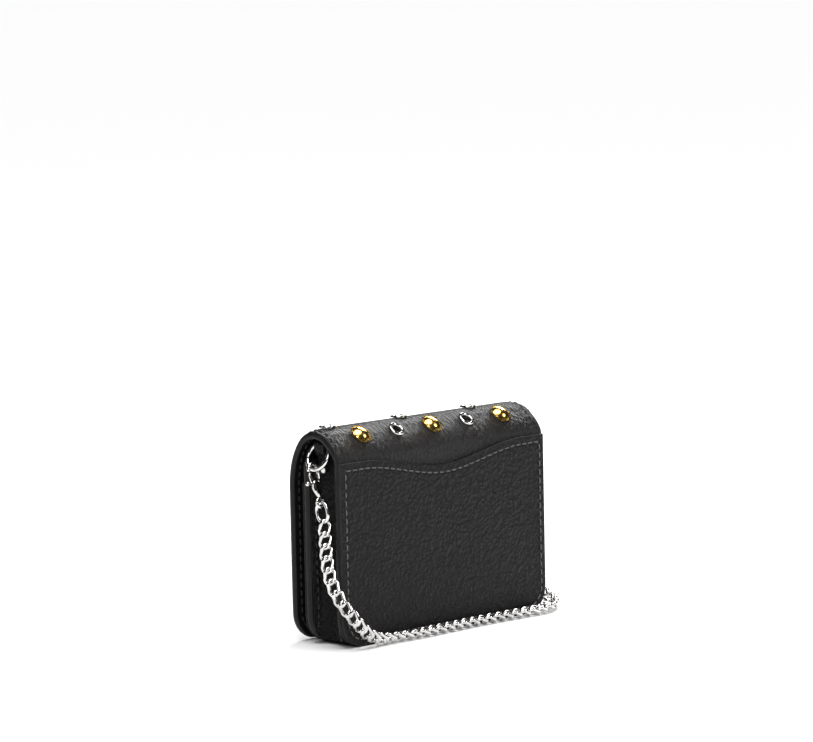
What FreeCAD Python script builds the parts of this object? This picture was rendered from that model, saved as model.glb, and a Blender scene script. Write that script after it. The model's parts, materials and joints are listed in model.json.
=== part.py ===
"""Small flap wallet on a curb chain, built as separate leather panels, hardware and a chain.

Row frame: +X to the wearer's right-hand end, +Y to the back (slip pocket side), +Z up.
The origin is under the middle of the wallet, on the surface it stands on. Millimetres.
"""
import FreeCAD, Part
import math
import os

App = FreeCAD
Vec = App.Vector

# ---------------------------------------------------------------- driving dimensions
DIMENSIONS = [
    ("width", 114.0, "overall width of the leather body"),
    ("height", 86.0, "surface to the top of the flap's arch"),
    ("depth", 30.0, "slip pocket face to flap face, closed"),
    ("corner", 10.5, "radius of every panel's bottom corners"),
    ("arch_rise", 13.0, "top of the flap's arch above the upright panels"),
    ("fold_rise", 1.1, "the fold that the flap turns about, above the upright panels"),
    ("leather", 1.8, "outer leather of back and flap"),
    ("pocket_leather", 1.3, "slip pocket leather"),
    ("front_leather", 2.3, "front panel's leather"),
    ("lining", 1.0, "lining leather"),
    ("slot_leather", 0.8, "card slot layers"),
    ("slot_step", 9.0, "how much lower each card slot's top is"),
    ("pocket_dip", 6.2, "depth of the slip pocket's scoop"),
    ("pocket_shoulder", 13.0, "flat part of the slip pocket's top at each side"),
    ("front_gap", 4.8, "clear gap between flap and front panel"),
    ("rear_gap", 3.6, "clear rear compartment"),
    ("coin_gap", 2.4, "clear coin pocket"),
    ("gusset", 1.0, "gusset leather"),
    ("gusset_inset", 5.4, "gusset wall's distance in from the body's side"),
    ("base_height", 1.8, "underside of the gusset's bottom strip"),
    ("stud_radius", 4.5, "domed stud, over its rim"),
    ("stud_height", 2.2, "domed stud, above the leather"),
    ("eyelet_radius", 3.4, "eyelet flange"),
    ("eyelet_bore", 1.9, "eyelet hole"),
    ("eyelet_barrel", 2.35, "outside of the eyelet's barrel"),
    ("eyelet_height", 0.7, "eyelet flange above the leather"),
    ("stud_pitch", 19.45, "stud to eyelet along a row"),
    ("snap_radius", 5.0, "snap socket and stud base"),
    ("snap_height", 24.0, "snap centre above the surface"),
    ("zip_length", 96.0, "row of zip teeth"),
    ("slider_length", 7.0, "zip slider"),
    ("pull_length", 7.0, "zip pull, from its pin"),
    ("ring_radius", 5.45, "ring, to the middle of its wire"),
    ("ring_wire", 1.9, "ring wire diameter"),
    ("ring_lean", 25.0, "degrees the hanging ring leans out"),
    ("tab_width", 5.0, "leather tab that holds the ring"),
    ("clasp_plate", 1.7, "clasp thickness"),
    ("clasp_lean", 17.0, "degrees the hanging clasp leans to the back"),
    ("hook_wire", 1.3, "clasp hook's width"),
    ("hook_gap", 3.4, "clear width inside the hook"),
    ("pin_radius", 0.45, "gate pin"),
    ("link_length", 9.2, "end link, outside length"),
    ("link_width", 7.4, "end link, outside width"),
    ("link_wire", 1.5, "end link's wire diameter"),
    ("chain_width", 5.0, "chain, outside width"),
]
SIZE = {name: value for name, value, note in DIMENSIONS}

doc = App.newDocument("ChainWallet")
sheet = doc.addObject("Spreadsheet::Sheet", "Sizes")
for row, (name, value, note) in enumerate(DIMENSIONS, start=1):
    sheet.set(f"A{row}", note)
    sheet.set(f"B{row}", str(value))
    sheet.setAlias(f"B{row}", name)
doc.recompute()

# Clearances and small fixed sizes
CLEAR = 0.4            # between pieces that move past each other
PIN_PLAY = 0.05        # radial play of a hinged piece on its pin
FOLD_PLAY = 0.2        # half the gap in the leather at the flap's fold
HOLE_PLAY = 0.25       # play of the ring in its tab
THROUGH = 2.0          # how far a cutting tool reaches past what it cuts
LINING_INSET = 1.0     # linings stop short of the leather's edge

HALF = SIZE["width"] / 2
BACK = (SIZE["depth"] + SIZE["stud_height"]) / 2     # slip pocket's face
FRONT = BACK - SIZE["depth"]                         # flap's front face
panel_top = SIZE["height"] - SIZE["arch_rise"]
fold_height = panel_top + SIZE["fold_rise"]

# Faces of the upright layers, from the back forwards: each is the layer's rear face.
back_panel_y = BACK - SIZE["pocket_leather"]
back_lining_y = back_panel_y - SIZE["leather"]
back_slot_y = back_lining_y - SIZE["lining"]
rear_space_y = back_slot_y - 2 * SIZE["slot_leather"]
coin_rear_y = rear_space_y - SIZE["rear_gap"]
coin_space_y = coin_rear_y - SIZE["slot_leather"]
coin_front_y = coin_space_y - SIZE["coin_gap"]
bill_space_y = coin_front_y - SIZE["slot_leather"]
flap_inside_y = FRONT + SIZE["leather"] + SIZE["lining"]
front_face_y = flap_inside_y + SIZE["front_gap"]     # outer face of the front card slot
front_slot_y = front_face_y + SIZE["slot_leather"]
front_panel_y = front_slot_y + SIZE["front_leather"]
front_lining_y = front_panel_y + SIZE["lining"]      # the front compartment lies behind it
zip_y = coin_space_y - SIZE["coin_gap"] / 2
wall_x = HALF - SIZE["gusset_inset"]                 # outside of the gusset wall
base_top = SIZE["base_height"] + SIZE["gusset"]


# ---------------------------------------------------------------- outlines
def rounded(points, radii):
    """Closed run of lines and arcs through 2-D points, each corner rounded by its radius."""
    count = len(points)
    starts, ends, arcs = [], [], []
    for i, (here, radius) in enumerate(zip(points, radii)):
        here = Vec(here[0], here[1], 0)
        before = Vec(points[i - 1][0], points[i - 1][1], 0)
        after = Vec(points[(i + 1) % count][0], points[(i + 1) % count][1], 0)
        arrive = (here - before).normalize()
        leave = (after - here).normalize()
        half_turn = arrive.getAngle(leave) / 2
        if radius == 0:
            starts.append(here)
            ends.append(here)
            arcs.append(None)
            continue
        setback = radius * math.tan(half_turn)
        bisector = (leave - arrive).normalize()
        middle = here + bisector * (radius / math.cos(half_turn) - radius)
        starts.append(here - arrive * setback)
        ends.append(here + leave * setback)
        arcs.append(middle)
    edges = []
    for i in range(count):
        if arcs[i] is not None:
            edges.append(Part.Arc(starts[i], arcs[i], ends[i]))
        following = starts[(i + 1) % count]
        if ends[i].distanceToPoint(following) > 1e-6:
            edges.append(Part.LineSegment(ends[i], following))
    return edges


def panel_outline(half_width, bottom, top, corner, top_corner=0.0):
    """A panel seen from the front: rounded bottom corners."""
    points = [(-half_width, bottom), (half_width, bottom), (half_width, top), (-half_width, top)]
    return rounded(points, [corner, corner, top_corner, top_corner])


def scooped_outline(half_width, bottom, top, corner, shoulder, dip):
    """A panel whose top edge is scooped by two S-curves between flat shoulders."""
    flat_share = 0.35          # half of the dip's flat middle, as a share of the shoulder
    widest_bend = 48.0
    slope = half_width - shoulder
    inner = shoulder * flat_share
    points = [(-half_width, bottom), (half_width, bottom), (half_width, top),
              (slope, top), (inner, top - dip), (-inner, top - dip), (-slope, top), (-half_width, top)]
    bend = min(1.4 * (slope - inner), widest_bend)
    return rounded(points, [corner, corner, 0, bend, bend, bend, bend, 0])


def offset_points(points, distance):
    """The open polyline moved to its right-hand side, with mitred corners."""
    moved = []
    for i, point in enumerate(points):
        here = Vec(point[0], point[1], 0)
        normals = []
        for a, b in ((i - 1, i), (i, i + 1)):
            if 0 <= a and b < len(points):
                run = (Vec(points[b][0], points[b][1], 0) - Vec(points[a][0], points[a][1], 0)).normalize()
                normals.append(Vec(run.y, -run.x, 0))
        mitre = (normals[0] + normals[-1]).normalize()
        here += mitre * (distance / mitre.dot(normals[0]))
        moved.append((here.x, here.y))
    return moved


# ---------------------------------------------------------------- feature helpers
def origin_plane(body, role):
    return next(f for f in body.Origin.OriginFeatures if getattr(f, "Role", "") == role)


def padded_body(label, plane, edges, start, length_expression, cut_edges=None):
    """A body padded from one closed outline; start is the distance along the plane's normal."""
    body = doc.addObject("PartDesign::Body", label)
    body.Label = label
    sketch = body.newObject("Sketcher::SketchObject", label + "_outline")
    sketch.AttachmentSupport = (origin_plane(body, plane), [""])
    sketch.MapMode = "FlatFace"
    sketch.AttachmentOffset = App.Placement(Vec(0, 0, start), App.Rotation())
    sketch.addGeometry(edges, False)
    if cut_edges:
        sketch.addGeometry(cut_edges, False)
    pad = body.newObject("PartDesign::Pad", label + "_pad")
    pad.Profile = sketch
    pad.setExpression("Length", length_expression)
    body.Tip = pad
    return body


def upright(label, edges, rear_face, thickness_expression):
    """A leather layer standing in XZ: its rear face is given and it grows towards the front."""
    return padded_body(label, "XZ_Plane", edges, -rear_face, thickness_expression)


def block(label, low, high, bound=None):
    """A box between two corners; bound maps a side to the expression that sets it."""
    box = doc.addObject("Part::Box", label)
    box.Label = label
    box.Length, box.Width, box.Height = (high[i] - low[i] for i in range(3))
    for side, expression in (bound or {}).items():
        box.setExpression(side, expression)
    box.Placement = App.Placement(Vec(*low), App.Rotation())
    return box


def solid(label, shape, placement=None):
    """A piece whose shape is worked out with Part's own functions."""
    piece = doc.addObject("Part::Feature", label)
    piece.Label = label
    piece.Shape = shape
    if placement is not None:
        piece.Placement = placement
    return piece


def mirrored(source, label):
    """The left-hand twin of a right-hand piece."""
    twin = doc.addObject("Part::Mirroring", label)
    twin.Label = label
    twin.Source = source
    twin.Base = Vec(0, 0, 0)
    twin.Normal = Vec(1, 0, 0)
    return twin


def prism(edges, axis_map, start, length_vector):
    """A solid from a closed 2-D outline; axis_map places its two coordinates in space."""
    wire = Part.Wire([edge.toShape() for edge in edges])
    face = Part.Face(wire)
    face.transformShape(axis_map)
    face.translate(start)
    return face.extrude(length_vector)


YZ = App.Matrix(0, 0, 1, 0, 1, 0, 0, 0, 0, 1, 0, 0, 0, 0, 0, 1)     # (u, v) to (y, z)
XZ = App.Matrix(1, 0, 0, 0, 0, 0, -1, 0, 0, 1, 0, 0, 0, 0, 0, 1)    # (u, v) to (x, z)

nodes = {}


def keep(piece):
    nodes[piece.Label] = piece
    return piece


# ---------------------------------------------------------------- back of the wallet
def build_back():
    corner = SIZE["corner"]
    slot_corner = 3.0
    first_slot_drop = 4.0
    keep(upright("slip_pocket", scooped_outline(HALF, 0, panel_top, corner,
                                                SIZE["pocket_shoulder"], SIZE["pocket_dip"]),
                 BACK, "Sizes.pocket_leather"))
    keep(upright("back_panel", panel_outline(HALF, 0, fold_height - FOLD_PLAY, corner),
                 back_panel_y, "Sizes.leather"))
    lining = panel_outline(HALF - LINING_INSET, LINING_INSET, panel_top, corner - LINING_INSET)
    keep(upright("back_lining", lining, back_lining_y, "Sizes.lining"))
    slot_half = wall_x - SIZE["gusset"]
    for number in (1, 2):
        top = panel_top - first_slot_drop - number * SIZE["slot_step"]
        keep(upright(f"back_card_slot_{number}", panel_outline(slot_half, base_top, top, 0, slot_corner),
                     back_slot_y - (number - 1) * SIZE["slot_leather"], "Sizes.slot_leather"))


# ---------------------------------------------------------------- coin pocket and zip
TAPE = 0.8                       # thickness of the zip tape
TAPE_HEIGHT = 5.0
TAPE_END = 1.0                   # tape stops short of the pocket's sides
TEETH_HALF = 0.6
TEETH_HEIGHT = 1.3


def build_coin_pocket():
    half = wall_x - SIZE["gusset"]
    top = panel_top - 3.0
    for name, rear in (("rear", coin_rear_y), ("front", coin_front_y)):
        keep(upright(f"coin_pocket_{name}", panel_outline(half, base_top, top, 0), rear, "Sizes.slot_leather"))
    tape_top = top + 1.0
    for name, rear in (("rear", coin_space_y), ("front", coin_front_y + TAPE)):
        keep(block(f"zip_tape_{name}", (-half + TAPE_END, rear - TAPE, tape_top - TAPE_HEIGHT),
                   (half - TAPE_END, rear, tape_top)))
    keep(block("zip_teeth", (-SIZE["zip_length"] / 2, zip_y - TEETH_HALF, tape_top),
               (SIZE["zip_length"] / 2, zip_y + TEETH_HALF, tape_top + TEETH_HEIGHT),
               {"Length": "Sizes.zip_length"}))
    build_slider(tape_top)


def build_slider(tape_top):
    """A channel that runs on the teeth, with two posts and a pin on top for the pull."""
    play = 0.3
    wall = 0.7
    lift = 0.2                   # slider's underside above the tape
    end_stop = 2.0               # slider's rest place, in from the end of the teeth
    pin_rise, pin_radius, pin_cover = 1.25, 0.55, 0.7
    eye_half, eye_radius, eye_play = 0.8, 1.15, 0.1
    post_length = 1.8
    overlap = 0.1
    pull_thickness = 0.8
    high = tape_top + TEETH_HEIGHT + play + wall
    length = SIZE["slider_length"]
    outer_x = SIZE["zip_length"] / 2 - end_stop
    half = TEETH_HALF + play + wall
    shell = Part.makeBox(length, 2 * half, high - tape_top - lift,
                         Vec(outer_x - length, zip_y - half, tape_top + lift))
    channel = Part.makeBox(length + THROUGH, 2 * (TEETH_HALF + play), TEETH_HEIGHT + play,
                           Vec(outer_x - length - THROUGH / 2, zip_y - TEETH_HALF - play, tape_top))
    pin_x = outer_x - length / 2
    pin_z = high + pin_rise
    post_width = half - eye_half - eye_play
    posts = [Part.makeBox(post_length, post_width, pin_rise + pin_cover + overlap,
                          Vec(pin_x - post_length / 2, low, high - overlap))
             for low in (zip_y - half, zip_y + eye_half + eye_play)]
    pin = Part.makeCylinder(pin_radius, 2 * half, Vec(pin_x, zip_y - half, pin_z), Vec(0, 1, 0))
    keep(solid("zip_slider", shell.cut(channel).fuse(posts).fuse(pin).removeSplitter()))
    eye_start = Vec(pin_x, zip_y - eye_half, pin_z)
    eye = Part.makeCylinder(eye_radius, 2 * eye_half, eye_start, Vec(0, 1, 0))
    arm = Part.makeBox(SIZE["pull_length"], 2 * eye_half, pull_thickness,
                       eye_start - Vec(SIZE["pull_length"], 0, pull_thickness / 2))
    bore = Part.makeCylinder(pin_radius + PIN_PLAY, 2 * (eye_half + THROUGH), eye_start - Vec(0, THROUGH, 0),
                             Vec(0, 1, 0))
    keep(solid("zip_pull", eye.fuse(arm).cut(bore).removeSplitter()))
    print(f"zip pull pin at x {pin_x:.2f}, y {zip_y:.2f}, z {pin_z:.2f}")


# ---------------------------------------------------------------- gussets
def build_gussets():
    thick = SIZE["gusset"]
    ridge_rise = 5.4             # how far the gusset's pleat stands above the panels
    leaf_foot = 8.0              # height where the gusset's seams start
    leaf_drop = 2.5
    ridge_rear_radius, ridge_front_radius = 2.0, 1.0
    seam_in = 1.6                # leaf's outer edge, in from the body's side
    leaf_gap = 0.2
    keep(block("gusset_base", (-wall_x, front_lining_y + CLEAR, SIZE["base_height"]),
               (wall_x, back_slot_y, base_top), {"Height": "Sizes.gusset"}))
    flange_top = panel_top - 0.5
    ridge = flange_top + ridge_rise
    front_edge = zip_y - 4.9
    wall_edges = rounded([(back_slot_y, base_top), (back_slot_y, flange_top),
                          (back_slot_y - ridge_rise, ridge), (front_edge, ridge), (front_edge, base_top)],
                         [0, 0, ridge_rear_radius, ridge_front_radius, 0])
    wall = prism(wall_edges, YZ, Vec(wall_x - thick, 0, 0), Vec(thick, 0, 0))
    flange = Part.makeBox(SIZE["gusset_inset"] - 2 * thick + thick, thick, flange_top - leaf_foot,
                          Vec(wall_x - thick, back_slot_y - thick, leaf_foot))
    right = keep(solid("gusset_right", wall.fuse(flange).removeSplitter()))
    keep(mirrored(right, "gusset_left"))
    # Front half of the concertina: a slanted leaf sewn to the front panel.
    outer = Vec(HALF - seam_in, front_lining_y, leaf_foot)
    inner = Vec(wall_x + leaf_gap, front_edge - CLEAR, leaf_foot)
    across = Vec(thick, 0, 0)
    leaf = Part.Face(Part.makePolygon([outer, inner, inner + across, outer + across, outer]))
    right = keep(solid("gusset_pleat_right", leaf.extrude(Vec(0, 0, flange_top - leaf_foot - leaf_drop))))
    keep(mirrored(right, "gusset_pleat_left"))


# ---------------------------------------------------------------- front panel
def build_front_panel():
    corner, top = SIZE["corner"], panel_top
    top_corner = 2.0
    slot_inset = 0.3
    slot_dip = 4.0
    keep(upright("front_panel", panel_outline(HALF, 0, top, corner, top_corner),
                 front_panel_y, "Sizes.front_leather"))
    keep(upright("front_panel_lining",
                 panel_outline(HALF - LINING_INSET, LINING_INSET, top - LINING_INSET / 2,
                               corner - LINING_INSET, top_corner), front_lining_y, "Sizes.lining"))
    keep(upright("front_card_slot",
                 scooped_outline(HALF - slot_inset, slot_inset, top - SIZE["slot_step"], corner - slot_inset,
                                 SIZE["pocket_shoulder"], slot_dip), front_slot_y, "Sizes.slot_leather"))


# ---------------------------------------------------------------- flap
def flap_profile():
    """Outer line of the flap from its fold at the back, over the arch and down the front."""
    top = SIZE["height"]
    return [(BACK + 1.3, fold_height - 2.3), (BACK - 3.6, top - 6.4), (BACK - 10.4, top - 0.7),
            (FRONT + 14.0, top), (FRONT + 8.5, top - 1.8), (FRONT + 2.4, top - 9.5), (FRONT, top - 20),
            (FRONT, CLEAR)]


FLAP_RADII = [0, 18, 11, 10, 11.5, 27, 40, 0]


def flap_band(outside, inside):
    """The flap's section between two depths below its outer line, as a closed outline."""
    outer = offset_points(flap_profile(), -outside)
    inner = offset_points(flap_profile(), -inside)
    outer_radii = [max(r - outside, 0) for r in FLAP_RADII]
    inner_radii = [max(r - inside, 0) for r in FLAP_RADII]
    return rounded(outer + inner[::-1], outer_radii + inner_radii[::-1])


def profile_frames(distances, start_at):
    """Point and outward normal on the flap's outer line, at distances forward of start_at."""
    points = flap_profile()
    closing = (BACK - 15, 20)        # any place inside, to close the line
    wire = Part.Wire([e.toShape() for e in rounded(points + [closing], FLAP_RADII + [0])])
    edges = wire.OrderedEdges
    frames = []
    for distance in distances:
        left = start_at + distance
        for edge in edges:
            if left <= edge.Length:
                break
            left -= edge.Length
        ordered = edge.Orientation == "Forward"
        parameter = edge.getParameterByLength(left if ordered else edge.Length - left)
        point = edge.valueAt(parameter)
        tangent = edge.tangentAt(parameter) * (1 if ordered else -1)
        frames.append((point, Vec(-tangent.y, tangent.x, 0) * -1))
    return frames


def stand_on_flap(shape, across, frame):
    """The shape, built about +Z, stood on the flap at a place across its width."""
    point, normal = frame
    outward = Vec(0, normal.x, normal.y)
    placed = shape.copy()
    placed.Placement = App.Placement(Vec(across, point.x, point.y), App.Rotation(Vec(0, 0, 1), outward))
    return placed


def stud_shape():
    radius, height = SIZE["stud_radius"], SIZE["stud_height"]
    rim, ledge, post_radius = 0.5, 0.7, 1.0
    dome_radius = radius - ledge
    rise = height - rim
    sphere_radius = (dome_radius ** 2 + rise ** 2) / (2 * rise)
    dome = Part.makeSphere(sphere_radius, Vec(0, 0, height - sphere_radius))
    above = Part.makeCylinder(dome_radius, height, Vec(0, 0, rim / 2))
    flange = Part.makeCylinder(radius, rim)
    post = Part.makeCylinder(post_radius, SIZE["leather"], Vec(0, 0, -SIZE["leather"]))
    return flange.fuse([dome.common(above), post]).removeSplitter()


def eyelet_shape():
    flange, bore = SIZE["eyelet_radius"], SIZE["eyelet_bore"]
    middle = (flange + bore) / 2
    bead = Part.makeTorus(middle, (flange - bore) / 2)
    bead = bead.common(Part.makeCylinder(flange + THROUGH, SIZE["eyelet_height"]))
    barrel = Part.makeCylinder(SIZE["eyelet_barrel"], SIZE["leather"], Vec(0, 0, -SIZE["leather"]))
    hole = Part.makeCylinder(bore, SIZE["leather"] + 2 * THROUGH, Vec(0, 0, -SIZE["leather"] - THROUGH))
    return bead.fuse(barrel).cut(hole).removeSplitter()


def build_flap():
    pitch = SIZE["stud_pitch"]
    points = flap_profile()
    first = math.dist(points[0], points[1]) + math.dist(points[1], points[2]) / 2
    rows = 4
    full_rows = profile_frames([i * pitch for i in range(rows + 1)], first)
    sparse_rows = profile_frames([(i + 0.5) * pitch for i in range(rows)], first)
    studs, eyelets, holes = [], [], []
    drill = Part.makeCylinder(SIZE["eyelet_barrel"], 2 * THROUGH + SIZE["leather"],
                              Vec(0, 0, -THROUGH - SIZE["leather"]))
    for frame in full_rows:
        for column in (-2, 0, 2):
            studs.append(stand_on_flap(stud_shape(), column * pitch, frame))
        for column in (-1, 1):
            eyelets.append(stand_on_flap(eyelet_shape(), column * pitch, frame))
            holes.append(stand_on_flap(drill, column * pitch, frame))
    for frame in sparse_rows:
        for column in (-1.5, 0.5, 2.5):
            eyelets.append(stand_on_flap(eyelet_shape(), column * pitch, frame))
            holes.append(stand_on_flap(drill, column * pitch, frame))
    past = 5.0                       # the outline prism reaches past the flap on every side
    rim = prism(panel_outline(HALF, CLEAR, SIZE["height"] + past, SIZE["corner"]), XZ,
                Vec(0, BACK + past, 0), Vec(0, -SIZE["depth"] - 2 * past, 0))
    skin = SIZE["leather"]
    layers = {"flap_outer": (0, skin), "flap_lining": (skin, skin + SIZE["lining"])}
    stub_depth = 8.0
    below_fold = Part.makeBox(2 * (HALF + past), stub_depth + past, fold_height + FOLD_PLAY,
                              Vec(-HALF - past, BACK - stub_depth, 0))
    for name, (outside, inside) in layers.items():
        band = prism(flap_band(outside, inside), YZ, Vec(-HALF, 0, 0), Vec(2 * HALF, 0, 0))
        band = band.common(rim).cut(below_fold)
        if name == "flap_outer":
            band = band.cut(holes)
        keep(solid(name, band.removeSplitter()))
    keep(solid("gold_studs", Part.makeCompound(studs)))
    keep(solid("silver_eyelets", Part.makeCompound(eyelets)))


def build_snap():
    """Press stud: a socket inside the flap and a stud on the front panel that reaches into it."""
    radius, z = SIZE["snap_radius"], SIZE["snap_height"]
    socket_depth, bore, bore_depth = 2.0, 2.8, 1.3
    base, reach, post_radius = 1.6, 0.9, 2.1
    mouth = flap_inside_y + socket_depth
    ring = Part.makeCylinder(radius, socket_depth, Vec(0, flap_inside_y, z), Vec(0, 1, 0))
    hole = Part.makeCylinder(bore, bore_depth + THROUGH, Vec(0, mouth - bore_depth, z), Vec(0, 1, 0))
    keep(solid("snap_socket", ring.cut(hole)))
    plate = Part.makeCylinder(radius, base, Vec(0, front_face_y, z), Vec(0, -1, 0))
    length = front_face_y - mouth + reach
    post = Part.makeCylinder(post_radius, length, Vec(0, front_face_y, z), Vec(0, -1, 0))
    keep(solid("snap_stud", plate.fuse(post).removeSplitter()))


# ---------------------------------------------------------------- ring, tab and clasp
RING_IN = 1.1                    # ring's centre, in from the body's side
RING_DROP = 10.9                 # ring's centre, below the top
RING_BEHIND = 4.8                # ring's centre, behind the front panel's lining
HOOK_OFFSET = 0.55               # the hook rests a little forward of the ring's lowest point

lean = math.radians(SIZE["ring_lean"])
ring_centre = Vec(HALF - RING_IN, front_lining_y + RING_BEHIND, SIZE["height"] - RING_DROP)
ring_axis = Vec(math.cos(lean), 0, math.sin(lean))
ring_up = Vec(-math.sin(lean), 0, math.cos(lean))
ring_top = ring_centre + ring_up * SIZE["ring_radius"]

tilt = math.radians(SIZE["clasp_lean"])
clasp_up = Vec(0, -math.sin(tilt), math.cos(tilt))
clasp_normal = Vec(1, 0, 0).cross(clasp_up)
HOOK_REACH = 13.4                # eye centre to the hook's centre
drop = math.sqrt(SIZE["ring_radius"] ** 2 - HOOK_OFFSET ** 2)
hook_centre = ring_centre - ring_up * drop - Vec(0, HOOK_OFFSET, 0)
eye_centre = hook_centre - clasp_up * HOOK_REACH


def clasp_place(shape):
    """Clasp pieces are drawn with u across, v up and the thickness along +Z."""
    placed = shape.copy()
    matrix = App.Matrix(1, clasp_up.x, clasp_normal.x, eye_centre.x,
                        0, clasp_up.y, clasp_normal.y, eye_centre.y,
                        0, clasp_up.z, clasp_normal.z, eye_centre.z,
                        0, 0, 0, 1)
    placed.transformShape(matrix)
    return placed


def plate(edges, thickness):
    face = Part.Face(Part.Wire([edge.toShape() for edge in edges]))
    face.translate(Vec(0, 0, -thickness / 2))
    return face.extrude(Vec(0, 0, thickness))


def bar(left, right, low, high, radii, thickness):
    """A plate with straight sides, its corners rounded from the lower left, anticlockwise."""
    return plate(rounded([(left, low), (right, low), (right, high), (left, high)], radii), thickness)


def build_ring_and_tab():
    wire = SIZE["ring_wire"] / 2
    ring = Part.makeTorus(SIZE["ring_radius"], wire, ring_centre, ring_axis)
    right = keep(solid("ring_right", ring))
    keep(mirrored(right, "ring_left"))
    skin = 1.0
    loop_depth, leg_length = 3.4, 10.0
    mouth_radius, crown_radius = 1.0, 1.8
    side_trim, crown_trim = 0.1, 0.5     # the strip is skived thinner where it passes over the ring
    around = wire + HOLE_PLAY + skin
    inner_x = wall_x
    outer_x = ring_top.x + around - side_trim
    top = ring_top.z + around - crown_trim
    mouth = ring_top.z - loop_depth
    leg = inner_x + skin + 0.1
    outline = rounded([(inner_x, mouth - leg_length), (leg, mouth - leg_length), (leg, mouth), (outer_x, mouth),
                       (outer_x, top), (inner_x, top)], [0, 0, 0, mouth_radius, crown_radius, crown_radius])
    width = SIZE["tab_width"]
    tab = prism(outline, XZ, Vec(0, ring_centre.y + width / 2, 0), Vec(0, -width, 0))
    channel = Part.makeTorus(SIZE["ring_radius"], wire + HOLE_PLAY, ring_centre, ring_axis)
    right = keep(solid("ring_tab_right", tab.cut(channel)))
    keep(mirrored(right, "ring_tab_left"))
    rivet_drop, rivet_radius, rivet_height = 7.2, 1.2, 0.8
    rivet = Part.makeCylinder(rivet_radius, rivet_height, Vec(leg, ring_centre.y, mouth - rivet_drop),
                              Vec(1, 0, 0))
    right = keep(solid("tab_rivet_right", rivet))
    keep(mirrored(right, "tab_rivet_left"))


PIVOT = Vec(2.0, 8.0, 0)         # the gate's pin, seen on the clasp
SLOT_LOW = PIVOT.y + 1.6         # lower end of the hook's opening
HOOK_TIP = HOOK_REACH - 0.8


def build_clasp():
    """The hook, neck and eye are one casting; u points outwards and v up from the eye."""
    thick, wire = SIZE["clasp_plate"], SIZE["hook_wire"]
    inside = SIZE["hook_gap"] / 2
    outside = inside + wire
    past = thick + THROUGH
    foot, waist_low, waist_top, shoulder = 3.0, 1.2, 7.0, 5.6
    neck_half, neck_thick = 0.9, 1.3
    foot_radius, waist_radius, slot_radius = 1.5, 4.0, 1.0
    nearly = 0.01                # full round ends keep a hair of straight edge
    hook_end, slot_end = outside - nearly, inside - nearly
    # Hook: a slotted racetrack; its outboard side is open between the gate's root and the tip.
    hook = bar(-outside, outside, foot, HOOK_REACH + outside,
               [foot_radius, foot_radius, hook_end, hook_end], thick)
    waist = plate(rounded([(-outside - 1, waist_low), (-neck_half, waist_low), (-outside, waist_top),
                           (-outside - 1, waist_top)], [0, 0, waist_radius, 0]), past)
    waist_right = plate(rounded([(outside + 1, waist_low), (outside + 1, shoulder), (outside, shoulder),
                                 (neck_half, waist_low)], [0, 0, waist_radius, 0]), past)
    opening = bar(-inside, inside, SLOT_LOW, HOOK_REACH + inside, [slot_radius, 0, slot_end, slot_end], past)
    gateway = bar(inside - 0.5, outside + 1, SLOT_LOW, HOOK_TIP, [0, 0, 0, 0], past)
    fork_left, fork_drop = 0.45, 1.6
    fork = bar(fork_left, outside + THROUGH, PIVOT.y - fork_drop, SLOT_LOW + 1, [0, 0, 0, 0], neck_thick)
    neck = bar(-0.7, 0.7, 1.5, 4, [0, 0, 0, 0], neck_thick)
    eye_radius, eye_wire = 1.9, 0.6
    eye = Part.makeTorus(eye_radius, eye_wire)
    bore = Part.makeCylinder(SIZE["pin_radius"], past, Vec(PIVOT.x, PIVOT.y, -past / 2))
    frame = hook.cut([waist, waist_right, opening, gateway, fork]).fuse([neck, eye]).cut(bore)
    right = keep(solid("clasp_right", clasp_place(frame.removeSplitter())))
    keep(mirrored(right, "clasp_left"))

    pin = Part.makeCylinder(SIZE["pin_radius"], thick, Vec(PIVOT.x, PIVOT.y, -thick / 2))
    right = keep(solid("clasp_pin_right", clasp_place(pin)))
    keep(mirrored(right, "clasp_pin_left"))
    leaf, leaf_length, leaf_width, leaf_gap = 0.2, 2.8, 1.0, 0.01
    spring = Part.makeBox(leaf, leaf_length, leaf_width,
                          Vec(fork_left + leaf_gap, PIVOT.y - leaf_length / 2, -leaf_width / 2))
    right = keep(solid("gate_spring_right", clasp_place(spring)))
    keep(mirrored(right, "gate_spring_left"))
    build_gate(inside, outside)


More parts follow.
